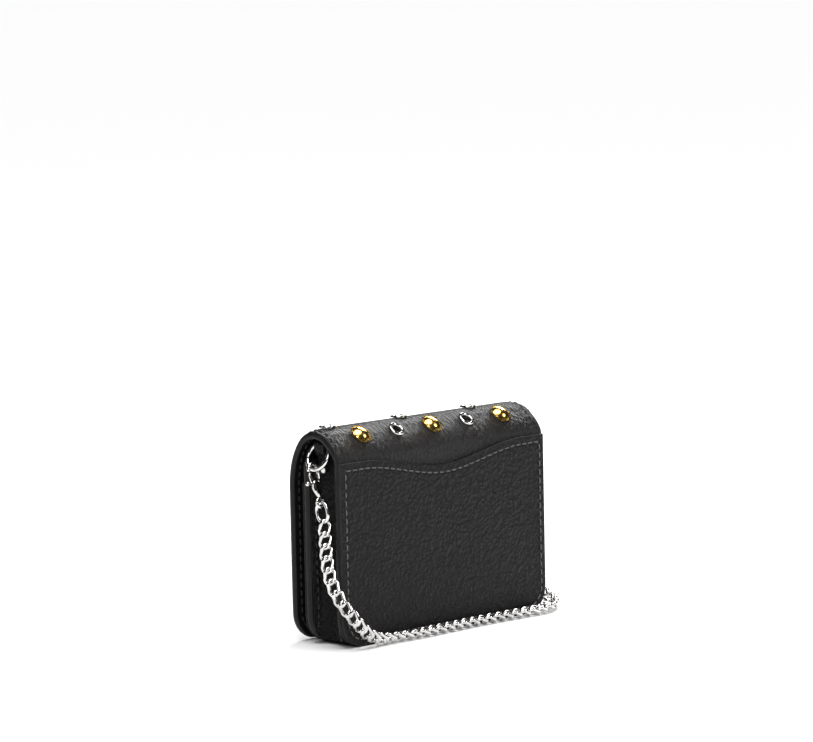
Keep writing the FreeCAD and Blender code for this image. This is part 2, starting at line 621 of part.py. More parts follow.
def build_gate(inside, outside):
    """Round root on the pin, a finger up to the hook's tip, and a thumb knob."""
    gate_thick = 1.1
    root_radius = 1.3
    finger_in, finger_out, finger_tip = 0.45, 0.9, 0.3
    lever_length, lever_root, lever_end = 2.4, 0.6, 0.5
    knob_radius, knob_reach = 1.0, 2.6
    root = Part.makeCylinder(root_radius, gate_thick, Vec(PIVOT.x, PIVOT.y, -gate_thick / 2))
    finger = plate(rounded([(PIVOT.x - finger_in, PIVOT.y), (PIVOT.x + finger_out, PIVOT.y),
                            (outside - 0.1, HOOK_TIP - finger_tip), (inside + 0.25, HOOK_TIP - finger_tip)],
                           [0, 0, 0.3, 0.3]), gate_thick)
    lever_x = PIVOT.x + lever_length
    lever = plate(rounded([(PIVOT.x, PIVOT.y - lever_root), (lever_x, PIVOT.y - lever_end),
                           (lever_x, PIVOT.y + lever_end), (PIVOT.x, PIVOT.y + lever_root)], [0, 0, 0, 0]),
                  gate_thick)
    knob = Part.makeSphere(knob_radius, Vec(PIVOT.x + knob_reach, PIVOT.y, 0))
    play = Part.makeCylinder(SIZE["pin_radius"] + PIN_PLAY, gate_thick + THROUGH,
                             Vec(PIVOT.x, PIVOT.y, -(gate_thick + THROUGH) / 2))
    gate = root.fuse([finger, lever, knob]).cut(play).removeSplitter()
    right = keep(solid("gate_right", clasp_place(gate)))
    keep(mirrored(right, "gate_left"))
    hinge = eye_centre + Vec(1, 0, 0) * PIVOT.x + clasp_up * PIVOT.y
    print("gate pin at", [round(v, 3) for v in hinge], "axis", [round(v, 4) for v in clasp_normal])
    print("clasp eye at", [round(v, 3) for v in eye_centre], "axis", [round(v, 4) for v in clasp_up])
    print("ring centre", [round(v, 3) for v in ring_centre], "axis", [round(v, 4) for v in ring_axis])


# ---------------------------------------------------------------- end links and chain
LINK_LEAN = 0.25                 # the hanging end link leans to the back
link_down = Vec(0, LINK_LEAN, -math.sqrt(1 - LINK_LEAN ** 2))
link_radius = (SIZE["link_width"] - SIZE["link_wire"]) / 2
link_straight = SIZE["link_length"] - SIZE["link_width"]
link_end = eye_centre + link_down * (SIZE["link_length"] - SIZE["link_wire"] / 2)


def build_end_links():
    """Long oval link standing in YZ, with its upper bend through the clasp's eye."""
    side = link_down.cross(Vec(1, 0, 0))
    high = eye_centre + link_down * link_radius
    low = high + link_down * link_straight
    path = Part.Wire([Part.Arc(high + side * link_radius, high - link_down * link_radius,
                               high - side * link_radius).toShape(),
                      Part.LineSegment(high - side * link_radius, low - side * link_radius).toShape(),
                      Part.Arc(low - side * link_radius, low + link_down * link_radius,
                               low + side * link_radius).toShape(),
                      Part.LineSegment(low + side * link_radius, high + side * link_radius).toShape()])
    section = Part.Wire([Part.Circle(high + side * link_radius, link_down, SIZE["link_wire"] / 2).toShape()])
    right = keep(solid("end_link_right", path.makePipeShell([section], True, False)))
    keep(mirrored(right, "end_link_left"))
    print("end link's lower end", [round(v, 3) for v in link_end])


# The chain hangs from the right clasp, crosses the surface behind the wallet and climbs to the left one.
CHAIN_ROUTE = [
    (58.2, 8.1, 49.2), (59.5, 9.7, 41.8), (60.9, 11.9, 34.4), (62.1, 15.2, 27.0), (61.4, 19.6, 20.0),
    (57.2, 22.3, 13.0), (50.8, 22.2, 6.6), (43.2, 21.2, 2.6), (33.0, 20.3, 2.6), (18.0, 20.4, 2.6),
    (-2.0, 19.4, 2.6), (-22.0, 19.0, 2.6), (-37.0, 19.9, 2.6), (-49.5, 20.8, 2.6), (-60.0, 17.4, 2.6),
    (-66.8, 8.6, 2.8), (-69.4, -1.6, 5.6), (-69.8, -9.0, 13.0), (-69.2, -11.0, 23.4), (-67.0, -7.6, 33.4),
    (-63.0, 0.0, 41.6), (-58.2, 8.1, 49.2),
]


def tangent_path(points):
    """Straight runs joined by tangent arcs, each arc as large as its two runs allow."""
    arc_share = 0.45                 # of the shorter run beside each arc
    points = [Vec(*p) for p in points]
    edges, radii = [], []
    start = points[0]
    for before, here, after in zip(points, points[1:], points[2:]):
        arrive, leave = (here - before), (after - here)
        shorter = min(arrive.Length, leave.Length)
        arrive.normalize()
        leave.normalize()
        half_turn = arrive.getAngle(leave) / 2
        setback = arc_share * shorter
        radius = setback / math.tan(half_turn)
        radii.append(radius)
        first, last = here - arrive * setback, here + leave * setback
        middle = here + (leave - arrive).normalize() * (radius / math.cos(half_turn) - radius)
        edges.append(Part.LineSegment(start, first).toShape())
        edges.append(Part.Arc(first, middle, last).toShape())
        start = last
    edges.append(Part.LineSegment(start, points[-1]).toShape())
    return Part.Wire(edges), radii


def build_chain():
    route = [tuple(link_end)] + CHAIN_ROUTE[1:-1] + [(-link_end.x, link_end.y, link_end.z)]
    path, radii = tangent_path(route)
    direction = (Vec(*route[1]) - Vec(*route[0])).normalize()
    section = Part.Wire([Part.Circle(Vec(*route[0]), direction, SIZE["chain_width"] / 2).toShape()])
    tube = path.makePipeShell([section], True, False)
    expected = math.pi * (SIZE["chain_width"] / 2) ** 2 * path.Length
    print("chain radii", [round(r, 1) for r in radii])
    print(f"chain length {path.Length:.1f}, volume {tube.Volume:.1f} against {expected:.1f}")
    keep(solid("chain", tube))


# ---------------------------------------------------------------- build, check and write
def check_and_write():
    doc.recompute()
    for item in doc.Objects:
        bad = [state for state in item.State if state in ("Invalid", "Error")]
        if bad:
            raise RuntimeError(f"{item.Label}: {bad}")
    os.makedirs("parts", exist_ok=True)
    for label, piece in nodes.items():
        shape = piece.Shape
        if shape.isNull() or not shape.isValid() or shape.Volume <= 0:
            raise RuntimeError(f"{label}: bad shape")
    for label, piece in nodes.items():
        piece.Shape.exportStep(f"parts/{label}.step")
    print(len(nodes), "pieces written")


build_back()
build_coin_pocket()
build_gussets()
build_front_panel()
build_flap()
build_snap()
build_ring_and_tab()
build_clasp()
build_end_links()
build_chain()
check_and_write()
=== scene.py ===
"""Looks of the chain wallet: leather skins, seams, hardware and chain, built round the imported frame.

Metres, in the row's frame: +X to the right-hand end, +Y to the back with the slip pocket, +Z up.
"""
import bmesh
import bpy
import json
import math
import random
import numpy as np
from mathutils import Matrix, Vector


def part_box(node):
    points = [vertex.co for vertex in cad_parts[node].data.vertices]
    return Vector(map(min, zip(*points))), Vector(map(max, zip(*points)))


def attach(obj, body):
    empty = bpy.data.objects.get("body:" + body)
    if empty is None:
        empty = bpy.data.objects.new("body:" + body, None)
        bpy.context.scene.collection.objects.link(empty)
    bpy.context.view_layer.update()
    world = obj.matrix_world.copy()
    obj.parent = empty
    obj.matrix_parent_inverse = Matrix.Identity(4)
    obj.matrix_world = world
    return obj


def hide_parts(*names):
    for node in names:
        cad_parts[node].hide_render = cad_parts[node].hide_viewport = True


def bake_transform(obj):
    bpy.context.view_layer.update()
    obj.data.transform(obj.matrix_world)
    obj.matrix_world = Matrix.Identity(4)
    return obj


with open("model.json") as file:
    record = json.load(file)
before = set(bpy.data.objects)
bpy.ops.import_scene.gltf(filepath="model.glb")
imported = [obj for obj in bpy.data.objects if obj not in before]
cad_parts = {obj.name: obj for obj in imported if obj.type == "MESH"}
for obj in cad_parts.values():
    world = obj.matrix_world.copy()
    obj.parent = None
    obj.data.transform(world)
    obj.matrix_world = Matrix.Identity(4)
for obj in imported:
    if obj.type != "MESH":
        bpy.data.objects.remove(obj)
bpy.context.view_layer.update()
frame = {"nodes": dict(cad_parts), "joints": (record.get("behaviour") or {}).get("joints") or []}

MM = 0.001
dice = random.Random(11)
scene = bpy.context.scene


# ---- camera
CAMERA_PLACE = Vector((1.1037, 1.1406, 0.2898))
CAMERA_AIM = Vector((0.0011, -0.0036, 0.1029))
CAMERA_ROLL = math.radians(-1.22)
CAMERA_LENS = 177.25


def make_camera():
    camera = bpy.data.objects.new("camera", bpy.data.cameras.new("camera"))
    scene.collection.objects.link(camera)
    back = (CAMERA_PLACE - CAMERA_AIM).normalized()
    level = Vector((0, 0, 1)).cross(back).normalized()
    upright = back.cross(level)
    right = level * math.cos(CAMERA_ROLL) + upright * math.sin(CAMERA_ROLL)
    up = upright * math.cos(CAMERA_ROLL) - level * math.sin(CAMERA_ROLL)
    turn = Matrix((right, up, back)).transposed().to_4x4()
    camera.matrix_world = Matrix.Translation(CAMERA_PLACE) @ turn
    camera.data.lens = CAMERA_LENS
    camera.data.clip_start = 0.05
    camera.data.clip_end = 100
    scene.camera = camera


# ---- places taken from the frame
pocket_low, pocket_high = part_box("slip_pocket")
HALF = pocket_high.x                              # half the wallet's width
POCKET_Y = pocket_high.y                          # the slip pocket's outer face
PANEL_TOP = pocket_high.z
BACK_Y = pocket_low.y                             # the back leather's outer face
LINING_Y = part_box("back_lining")[0].y             # the back lining's inner face
SKIN = BACK_Y - LINING_Y                          # leather and lining together
FRONT_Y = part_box("flap_outer")[0].y
TOP_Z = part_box("flap_outer")[1].z
FLAP_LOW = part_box("flap_outer")[0].z
CORNER = 10.5 * MM
SEAM_IN = 3.0 * MM                                # seam to the edge


def joint(name):
    return next(j for j in frame["joints"] if j["name"] == name)


# ---- materials
def new_material(name, colour, roughness, metallic=0.0):
    material = bpy.data.materials.new(name)
    material.use_nodes = True
    tree = material.node_tree
    shader = tree.nodes["Principled BSDF"]
    shader.inputs["Base Color"].default_value = (*colour, 1)
    shader.inputs["Roughness"].default_value = roughness
    shader.inputs["Metallic"].default_value = metallic
    material.diffuse_color = (*colour, 1)
    return material, tree, shader


def add(tree, kind, **settings):
    """A new node; settings are its properties, or values of its inputs by name."""
    node = tree.nodes.new(kind)
    for key, value in settings.items():
        if hasattr(node, key):
            setattr(node, key, value)
        else:
            node.inputs[key.replace("_", " ")].default_value = value
    return node


def grain_place(tree, stretch=(1, 1, 1), by_object=False):
    """Texture place in metres: along the leather for pieces laid out flat, or in space for the others."""
    if by_object:
        source = add(tree, "ShaderNodeTexCoord").outputs["Object"]
    else:
        source = add(tree, "ShaderNodeUVMap", uv_map="grain").outputs["UV"]
    mapping = add(tree, "ShaderNodeMapping")
    mapping.inputs["Scale"].default_value = stretch
    tree.links.new(source, mapping.inputs["Vector"])
    return mapping.outputs["Vector"]


def noise_of(tree, place, size, detail=3.0, roughness=0.55):
    node = add(tree, "ShaderNodeTexNoise", Scale=1 / size, Detail=detail, Roughness=roughness)
    tree.links.new(place, node.inputs["Vector"])
    return node.outputs["Fac"]


def cells_of(tree, place, size):
    """Distance from the middle of rounded cells."""
    node = add(tree, "ShaderNodeTexVoronoi", feature="SMOOTH_F1", Scale=1 / size)
    tree.links.new(place, node.inputs["Vector"])
    return node.outputs["Distance"]


def ramp(tree, value, low, high, to_low=0.0, to_high=1.0):
    """A smooth step from to_low to to_high as the value goes from low to high."""
    node = add(tree, "ShaderNodeMapRange", interpolation_type="SMOOTHSTEP")
    for name, number in (("From Min", low), ("From Max", high), ("To Min", to_low), ("To Max", to_high)):
        node.inputs[name].default_value = number
    tree.links.new(value, node.inputs["Value"])
    return node.outputs["Result"]


def maths(tree, operation, a, b):
    node = add(tree, "ShaderNodeMath", operation=operation)
    for socket, value in zip(node.inputs, (a, b)):
        if isinstance(value, (int, float)):
            socket.default_value = value
        else:
            tree.links.new(value, socket)
    return node.outputs["Value"]


def blend(tree, factor, a, b):
    """A mix of two colours, given as tuples, or of two values, given as sockets."""
    colours = isinstance(a, tuple)
    kind = "RGBA" if colours else "VALUE"
    node = add(tree, "ShaderNodeMix", data_type="RGBA" if colours else "FLOAT")
    tree.links.new(factor, node.inputs["Factor"])
    for name, value in (("A", a), ("B", b)):
        socket = next(s for s in node.inputs if s.name == name and s.type == kind)
        if colours:
            socket.default_value = (*value, 1)
        else:
            tree.links.new(value, socket)
    return next(s for s in node.outputs if s.type == kind)


def bump(tree, shader, height, depth, strength=1.0):
    node = add(tree, "ShaderNodeBump", Strength=strength, Distance=depth)
    tree.links.new(height, node.inputs["Height"])
    tree.links.new(node.outputs["Normal"], shader.inputs["Normal"])


def leather(name, dark, light, cell, depth, roughness, creased=False, by_object=False, shine=0.3):
    """Pebbled leather: soft domed cells with finer grain between them, and long creases where it is bent."""
    material, tree, shader = new_material(name, dark, roughness[0])
    shader.inputs["Specular IOR Level"].default_value = shine
    place = grain_place(tree, by_object=by_object)
    cells = cells_of(tree, place, cell)
    domes = ramp(tree, cells, 0.12, 0.62, 1.0, 0.0)
    swell = noise_of(tree, place, cell * 2.6, 3.0)
    fine = noise_of(tree, place, cell * 0.5, 4.0)
    height = maths(tree, "ADD", maths(tree, "MULTIPLY", domes, 0.55),
                   maths(tree, "MULTIPLY", fine, 0.45))
    height = maths(tree, "ADD", height, maths(tree, "MULTIPLY", swell, 1.1))
    if creased:
        lines = noise_of(tree, grain_place(tree, (1.0, 0.17, 1.0)), cell * 0.9, 3.0, 0.6)
        broken = noise_of(tree, grain_place(tree, (1.0, 0.42, 1.0)), cell * 0.7, 3.0, 0.6)
        creases = maths(tree, "ADD", maths(tree, "MULTIPLY", lines, 2.6),
                        maths(tree, "MULTIPLY", broken, 1.3))
        amount = add(tree, "ShaderNodeAttribute", attribute_name="crease").outputs["Fac"]
        height = blend(tree, amount, height, creases)
    bump(tree, shader, height, depth)
    patches = noise_of(tree, place, 0.011, 3.0)
    tone = maths(tree, "ADD", maths(tree, "MULTIPLY", domes, 0.5), maths(tree, "MULTIPLY", patches, 0.6))
    tree.links.new(blend(tree, tone, dark, light), shader.inputs["Base Color"])
    tree.links.new(ramp(tree, patches, 0.3, 0.7, *roughness), shader.inputs["Roughness"])
    return material


def painted_edge(name, colour, light):
    """Edge paint over cut leather: smooth, rounded, slightly uneven and rubbed."""
    material, tree, shader = new_material(name, colour, 0.5)
    shader.inputs["Specular IOR Level"].default_value = 0.2
    place = grain_place(tree, by_object=True)
    streaks = noise_of(tree, place, 0.0022, 4.0)
    bump(tree, shader, streaks, 0.00012)
    tone = ramp(tree, streaks, 0.35, 0.75)
    tree.links.new(blend(tree, tone, colour, light), shader.inputs["Base Color"])
    tree.links.new(ramp(tree, streaks, 0.3, 0.7, 0.42, 0.6), shader.inputs["Roughness"])
    return material


def thread(name, dark, light):
    """Twisted sewing thread: slanting plies, a little fuzz in its tone."""
    material, tree, shader = new_material(name, dark, 0.55)
    place = grain_place(tree)
    wave = add(tree, "ShaderNodeTexWave", Scale=1 / 0.0016, Distortion=0.6)
    wave.bands_direction = "DIAGONAL"
    tree.links.new(place, wave.inputs["Vector"])
    bump(tree, shader, wave.outputs["Fac"], 0.00012)
    tone = maths(tree, "ADD", maths(tree, "MULTIPLY", wave.outputs["Fac"], 0.6),
                 maths(tree, "MULTIPLY", noise_of(tree, grain_place(tree, by_object=True), 0.006), 0.5))
    tree.links.new(blend(tree, tone, dark, light), shader.inputs["Base Color"])
    return material


def metal(name, colour, tint, roughness, handling=0.00004):
    """Plated, polished metal with hairline handling marks and slightly uneven polish."""
    material, tree, shader = new_material(name, colour, roughness[0], 1.0)
    place = grain_place(tree, by_object=True)
    marks = noise_of(tree, place, 0.0018, 6.0, 0.7)
    clouds = noise_of(tree, place, 0.006, 3.0)
    tree.links.new(ramp(tree, marks, 0.35, 0.75, *roughness), shader.inputs["Roughness"])
    tone = ramp(tree, clouds, 0.35, 0.7)
    tree.links.new(blend(tree, tone, colour, tint), shader.inputs["Base Color"])
    bump(tree, shader, clouds, handling)
    return material


def woven(name, dark, light, pitch):
    """Zip tape: a fine herringbone weave."""
    material, tree, shader = new_material(name, dark, 0.8)
    place = grain_place(tree, by_object=True)
    over = add(tree, "ShaderNodeTexWave", Scale=1 / pitch / 6, Distortion=1.5)
    over.bands_direction = "DIAGONAL"
    tree.links.new(place, over.inputs["Vector"])
    bump(tree, shader, over.outputs["Fac"], 0.0001)
    tree.links.new(blend(tree, over.outputs["Fac"], dark, light), shader.inputs["Base Color"])
    return material


class Finish:
    """Every finish, made once."""
    pocket = leather("pocket_leather", (0.0052, 0.0046, 0.0053), (0.0130, 0.0119, 0.0132), 1.4 * MM, 0.00060,
                     (0.37, 0.48), shine=0.15)
    flap = leather("flap_leather", (0.0040, 0.0035, 0.0036), (0.0150, 0.0134, 0.0138), 1.2 * MM, 0.00105,
                   (0.31, 0.43), creased=True, shine=0.27)
    gusset = leather("gusset_leather", (0.0024, 0.0022, 0.0023), (0.0055, 0.0051, 0.0052), 1.2 * MM, 0.0005,
                     (0.40, 0.55), shine=0.14)
    lining_look = ((0.0035, 0.0032, 0.0032), (0.0070, 0.0066, 0.0066), 0.8 * MM, 0.0001, (0.5, 0.62))
    lining = leather("lining_leather", *lining_look, shine=0.12)
    lining_solid = leather("lining_solid", *lining_look, by_object=True, shine=0.12)
    edge = painted_edge("edge_paint", (0.0062, 0.0060, 0.0061), (0.0130, 0.0126, 0.0127))
    # Lighter edge paint for the slip pocket's edges: a painted highlight standing in for light along its top
    # edge, carried round its sides as well.
    painted_highlight_edge = painted_edge("pocket_edge_paint_painted_highlight", (0.013, 0.0126, 0.0128), (0.026, 0.0252, 0.0255))
    stitching = thread("thread", (0.045, 0.044, 0.044), (0.135, 0.133, 0.130))
    # Near-black thread for the seams inside the flap and down the gusset: painted shade, darker than the
    # thread elsewhere because these seams lie in shadow.
    painted_shade_stitching = thread("painted_shade_thread", (0.006, 0.006, 0.006), (0.016, 0.016, 0.016))
    nickel = metal("polished_nickel", (0.72, 0.71, 0.70), (0.58, 0.57, 0.56), (0.10, 0.20))
    gold = metal("polished_gold", (0.84, 0.58, 0.18), (0.72, 0.46, 0.11), (0.14, 0.26))
    tape = woven("zip_tape", (0.006, 0.006, 0.006), (0.018, 0.018, 0.018), 0.0005)


# ---- meshes
def make_object(name, points, faces, materials, faces_material=None, uv=None):
    """A smooth-shaded mesh object; uv gives each point's place along the leather, in metres."""
    mesh = bpy.data.meshes.new(name)
    mesh.from_pydata(points.tolist() if isinstance(points, np.ndarray) else points, [], faces)
    for material in materials:
        mesh.materials.append(material)
    mesh.polygons.foreach_set("use_smooth", [True] * len(mesh.polygons))
    if faces_material is not None:
        mesh.polygons.foreach_set("material_index", faces_material)
    if uv is not None:
        layer = mesh.uv_layers.new(name="grain")
        corners = np.zeros(len(mesh.loops), np.int32)
        mesh.loops.foreach_get("vertex_index", corners)
        layer.data.foreach_set("uv", np.asarray(uv, np.float32)[corners].ravel())
    mesh.update()
    made = bpy.data.objects.new(name, mesh)
    scene.collection.objects.link(made)
    return made


def finish_piece(piece, body, slot, *nodes):
    """Says which body a piece rides on and the CAD nodes it replaces; the slot argument is not used."""
    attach(piece, body)
    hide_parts(*nodes)


def distances(points):
    """Distance along a line of points, at each point."""
    return np.concatenate([[0], np.cumsum(np.linalg.norm(np.diff(points, axis=0), axis=1))])


def tube(path, radii, sides=12, flat=1.0, across=None, closed=False):
    """Points and faces of a tube along a path; flat squeezes it along the across direction's normal."""
    path = [Vector(p) for p in path]
    count = len(path)
    points, faces = [], []
    side = None
    for i, here in enumerate(path):
        ahead = path[(i + 1) % count] if closed else path[min(i + 1, count - 1)]
        behind = path[i - 1] if closed else path[max(i - 1, 0)]
        tangent = (ahead - behind).normalized()
        if across is not None:
            side = Vector(across)
        elif side is None:
            side = tangent.orthogonal()
        side = (side - tangent * side.dot(tangent)).normalized()
        normal = tangent.cross(side)
        wide = radii[i] if hasattr(radii, "__len__") else radii
        deep = flat[i] if hasattr(flat, "__len__") else wide * flat
        for k in range(sides):
            turn = 2 * math.pi * k / sides
            points.append(here + side * (wide * math.cos(turn)) + normal * (deep * math.sin(turn)))
    rings = count if closed else count - 1
    for i in range(rings):
        for k in range(sides):
            a, b = i * sides + k, i * sides + (k + 1) % sides
            c, d = ((i + 1) % count) * sides + (k + 1) % sides, ((i + 1) % count) * sides + k
            faces.append((a, b, c, d))
    if not closed:
        faces.append(tuple(range(sides))[::-1])
        faces.append(tuple((count - 1) * sides + k for k in range(sides)))
    return points, faces


def rounded_line(points, radii, step=0.4 * MM):
    """An open line of 2-D points with each corner rounded, as points a short step apart."""
    run = [Vector(points[0]).to_2d()]
    for before, here, after, radius in zip(points, points[1:], points[2:], radii[1:]):
        before, here, after = Vector(before), Vector(here), Vector(after)
        arrive, leave = (here - before).normalized(), (after - here).normalized()
        half_turn = arrive.angle(leave) / 2
        setback = radius * math.tan(half_turn)
        centre = here + (leave - arrive).normalized() * (radius / math.cos(half_turn))
        start = here - arrive * setback - centre
        turn = half_turn * 2 * (1 if arrive.cross(leave) > 0 else -1)
        bits = max(2, int(radius * half_turn * 2 / step))
        for i in range(bits + 1):
            angle = turn * i / bits
            run.append(centre + Vector((start.x * math.cos(angle) - start.y * math.sin(angle),
                                        start.x * math.sin(angle) + start.y * math.cos(angle))))
    run.append(Vector(points[-1]))
    dense = [run[0]]
    for a, b in zip(run, run[1:]):
        bits = max(1, int((b - a).length / (2 * step)))
        dense += [a.lerp(b, (i + 1) / bits) for i in range(bits)]
    return np.array([tuple(p) for p in dense])


class Line:
    """A rounded 2-D line that can be asked for its place and left-hand normal at a distance along it."""
    def __init__(self, points, radii):
        self.points = rounded_line(points, radii)
        self.at = distances(self.points)
        self.length = self.at[-1]
        along = np.gradient(self.points, self.at, axis=0)
        along /= np.linalg.norm(along, axis=1)[:, None]
        self.normals = np.stack([-along[:, 1], along[:, 0]], axis=1)
        self.along = along

    def place(self, distance, out):
        """Points at these distances, moved out along the normal; past either end it runs straight on."""
        inside = np.clip(distance, 0, self.length)
        over = distance - inside
        found = []
        for axis in (0, 1):
            here = np.interp(inside, self.at, self.points[:, axis])
            normal = np.interp(inside, self.at, self.normals[:, axis])
            ahead = np.interp(inside, self.at, self.along[:, axis])
            found.append(here + normal * out + ahead * over)
        return found

    def normal(self, distance):
        inside = np.clip(distance, 0, self.length)
        return [np.interp(inside, self.at, self.normals[:, axis]) for axis in (0, 1)]


# ---- leather laid out flat
EDGE_LINES = np.array([0, 0.08, 0.2, 0.38, 0.62, 1.0, 1.6, 2.2, 2.55, 2.8, 3.0, 3.2, 3.45, 3.8, 4.5, 5.6, 7.0,
                       8.6, 10.5]) * MM


def grid_lines(length, step, extra=()):
    """Lines across a length as (share, offset) pairs: fixed distances from both ends, even ones between."""
    near = EDGE_LINES[EDGE_LINES < length / 2 - 0.2 * MM]
    last = near[-1]
    count = max(2, int((length - 2 * last) / step))
    shares = list(np.linspace(0, 1, count + 1)[1:-1])
    inner = length - 2 * last
    shares += [(place - last) / inner for place in extra if last < place < length - last]
    shares = sorted(shares)
    pairs = [(0.0, d) for d in near]
    pairs += [(s, last * (1 - 2 * s)) for s in shares]
    pairs += [(1.0, -d) for d in near[::-1]]
    return np.array(pairs)


def u_line(x, start, end, radius):
    """Points along the left side from start to end, round a corner, across, and back up the right side."""
    spacing = 0.5 * MM
    way = 1 if end > start else -1
    bend = end - way * radius
    turns = np.linspace(0, math.pi / 2, 16)
    line = [(-x, v) for v in np.arange(start, bend, way * spacing)]
    line += [(-x + radius - radius * math.cos(t), bend + way * radius * math.sin(t)) for t in turns]
    line += [(u, end) for u in np.arange(-x + radius, x - radius, spacing)]
    line += [(x - radius + radius * math.sin(t), bend + way * radius * math.cos(t)) for t in turns]
    line += [(x, v) for v in np.arange(bend, start, -way * spacing)]
    return np.array(line)


class Cut:
    """The outline of a piece of leather: x across, v up, with rounded corners and a shaped top edge."""
    def __init__(self, half, low, high, corner=0.0, top_corner=0.0, top_at=None):
        self.half, self.low, self.high = half, low, high
        self.corner, self.top_corner = corner, top_corner
        self.top_at = top_at or (lambda x: np.full_like(x, high))

    def half_at(self, v):
        wide = np.full_like(v, self.half)
        for radius, inward in ((self.corner, v - self.low), (self.top_corner, self.high - v)):
            if radius > 0:
                near = np.clip(radius - inward, 0, radius)
                wide = np.minimum(wide, self.half - radius + np.sqrt(np.maximum(radius ** 2 - near ** 2, 0)))
        return wide

    def inward(self, x, v):
        """Distance in from the nearest edge."""
        side, below, above = self.half - np.abs(x), v - self.low, self.top_at(x) - v
        reach = np.minimum(side, np.minimum(below, above))
        for radius, end in ((self.corner, below), (self.top_corner, above)):
            if radius > 0:
                in_corner = (side < radius) & (end < radius)
                round_reach = radius - np.hypot(radius - side, radius - end)
                reach = np.where(in_corner, np.minimum(round_reach, np.maximum(side, end)), reach)
        return np.maximum(reach, 0)

    def outward(self, x, v):
        """Direction out of the outline, near its edge."""
        low_r, high_r = max(self.corner, 0.3 * MM), max(self.top_corner, 0.3 * MM)
        below = v < self.low + low_r
        above = v > self.top_at(x) - high_r
        radius = np.where(above, high_r, low_r)
        ox = np.sign(x) * np.maximum(np.abs(x) - (self.half - radius), 0)
        ov = np.where(below, v - self.low - low_r, np.where(above, v - self.top_at(x) + high_r, 0))
        size = np.maximum(np.hypot(ox, ov), 1e-9)
        return ox / size, ov / size

    def seam(self, inset, start=None):
        """Points at a fixed distance in: down the left side, along the bottom and up the right side."""
        ends = self.high - inset if start is None else start
        return u_line(self.half - inset, ends, self.low + inset, max(self.corner - inset, 0.5 * MM))


def soft_hash(x, v, size, seed):
    """Smooth unevenness between -1 and 1, made of a few crossing waves."""
    rng = np.random.default_rng(seed)
    total = np.zeros_like(x)
    waves = 6
    for _ in range(waves):
        angle = rng.uniform(0, math.pi)
        wave = size * rng.uniform(0.6, 1.7)
        along = x * math.cos(angle) + v * math.sin(angle)
        total += np.sin(along * 2 * math.pi / wave + rng.uniform(0, 6.28))
    return total / waves


GROOVE_HALF_WIDTH = 0.55 * MM
WAVINESS = 19 * MM                                # distance between low spots in a panel's face
FLAT_RIM = 6 * MM                                 # the waviness fades out this close to an edge
INNER_ROUNDING = 0.8                              # the inner edge is rounded this much of the outer one
PAINT_SHARE = 0.55                                # share of the rounded edge that carries edge paint
EDGE_BULGE = 0.10                                 # bulge of a painted edge, as a share of the thickness
EDGE_BANDS = 5


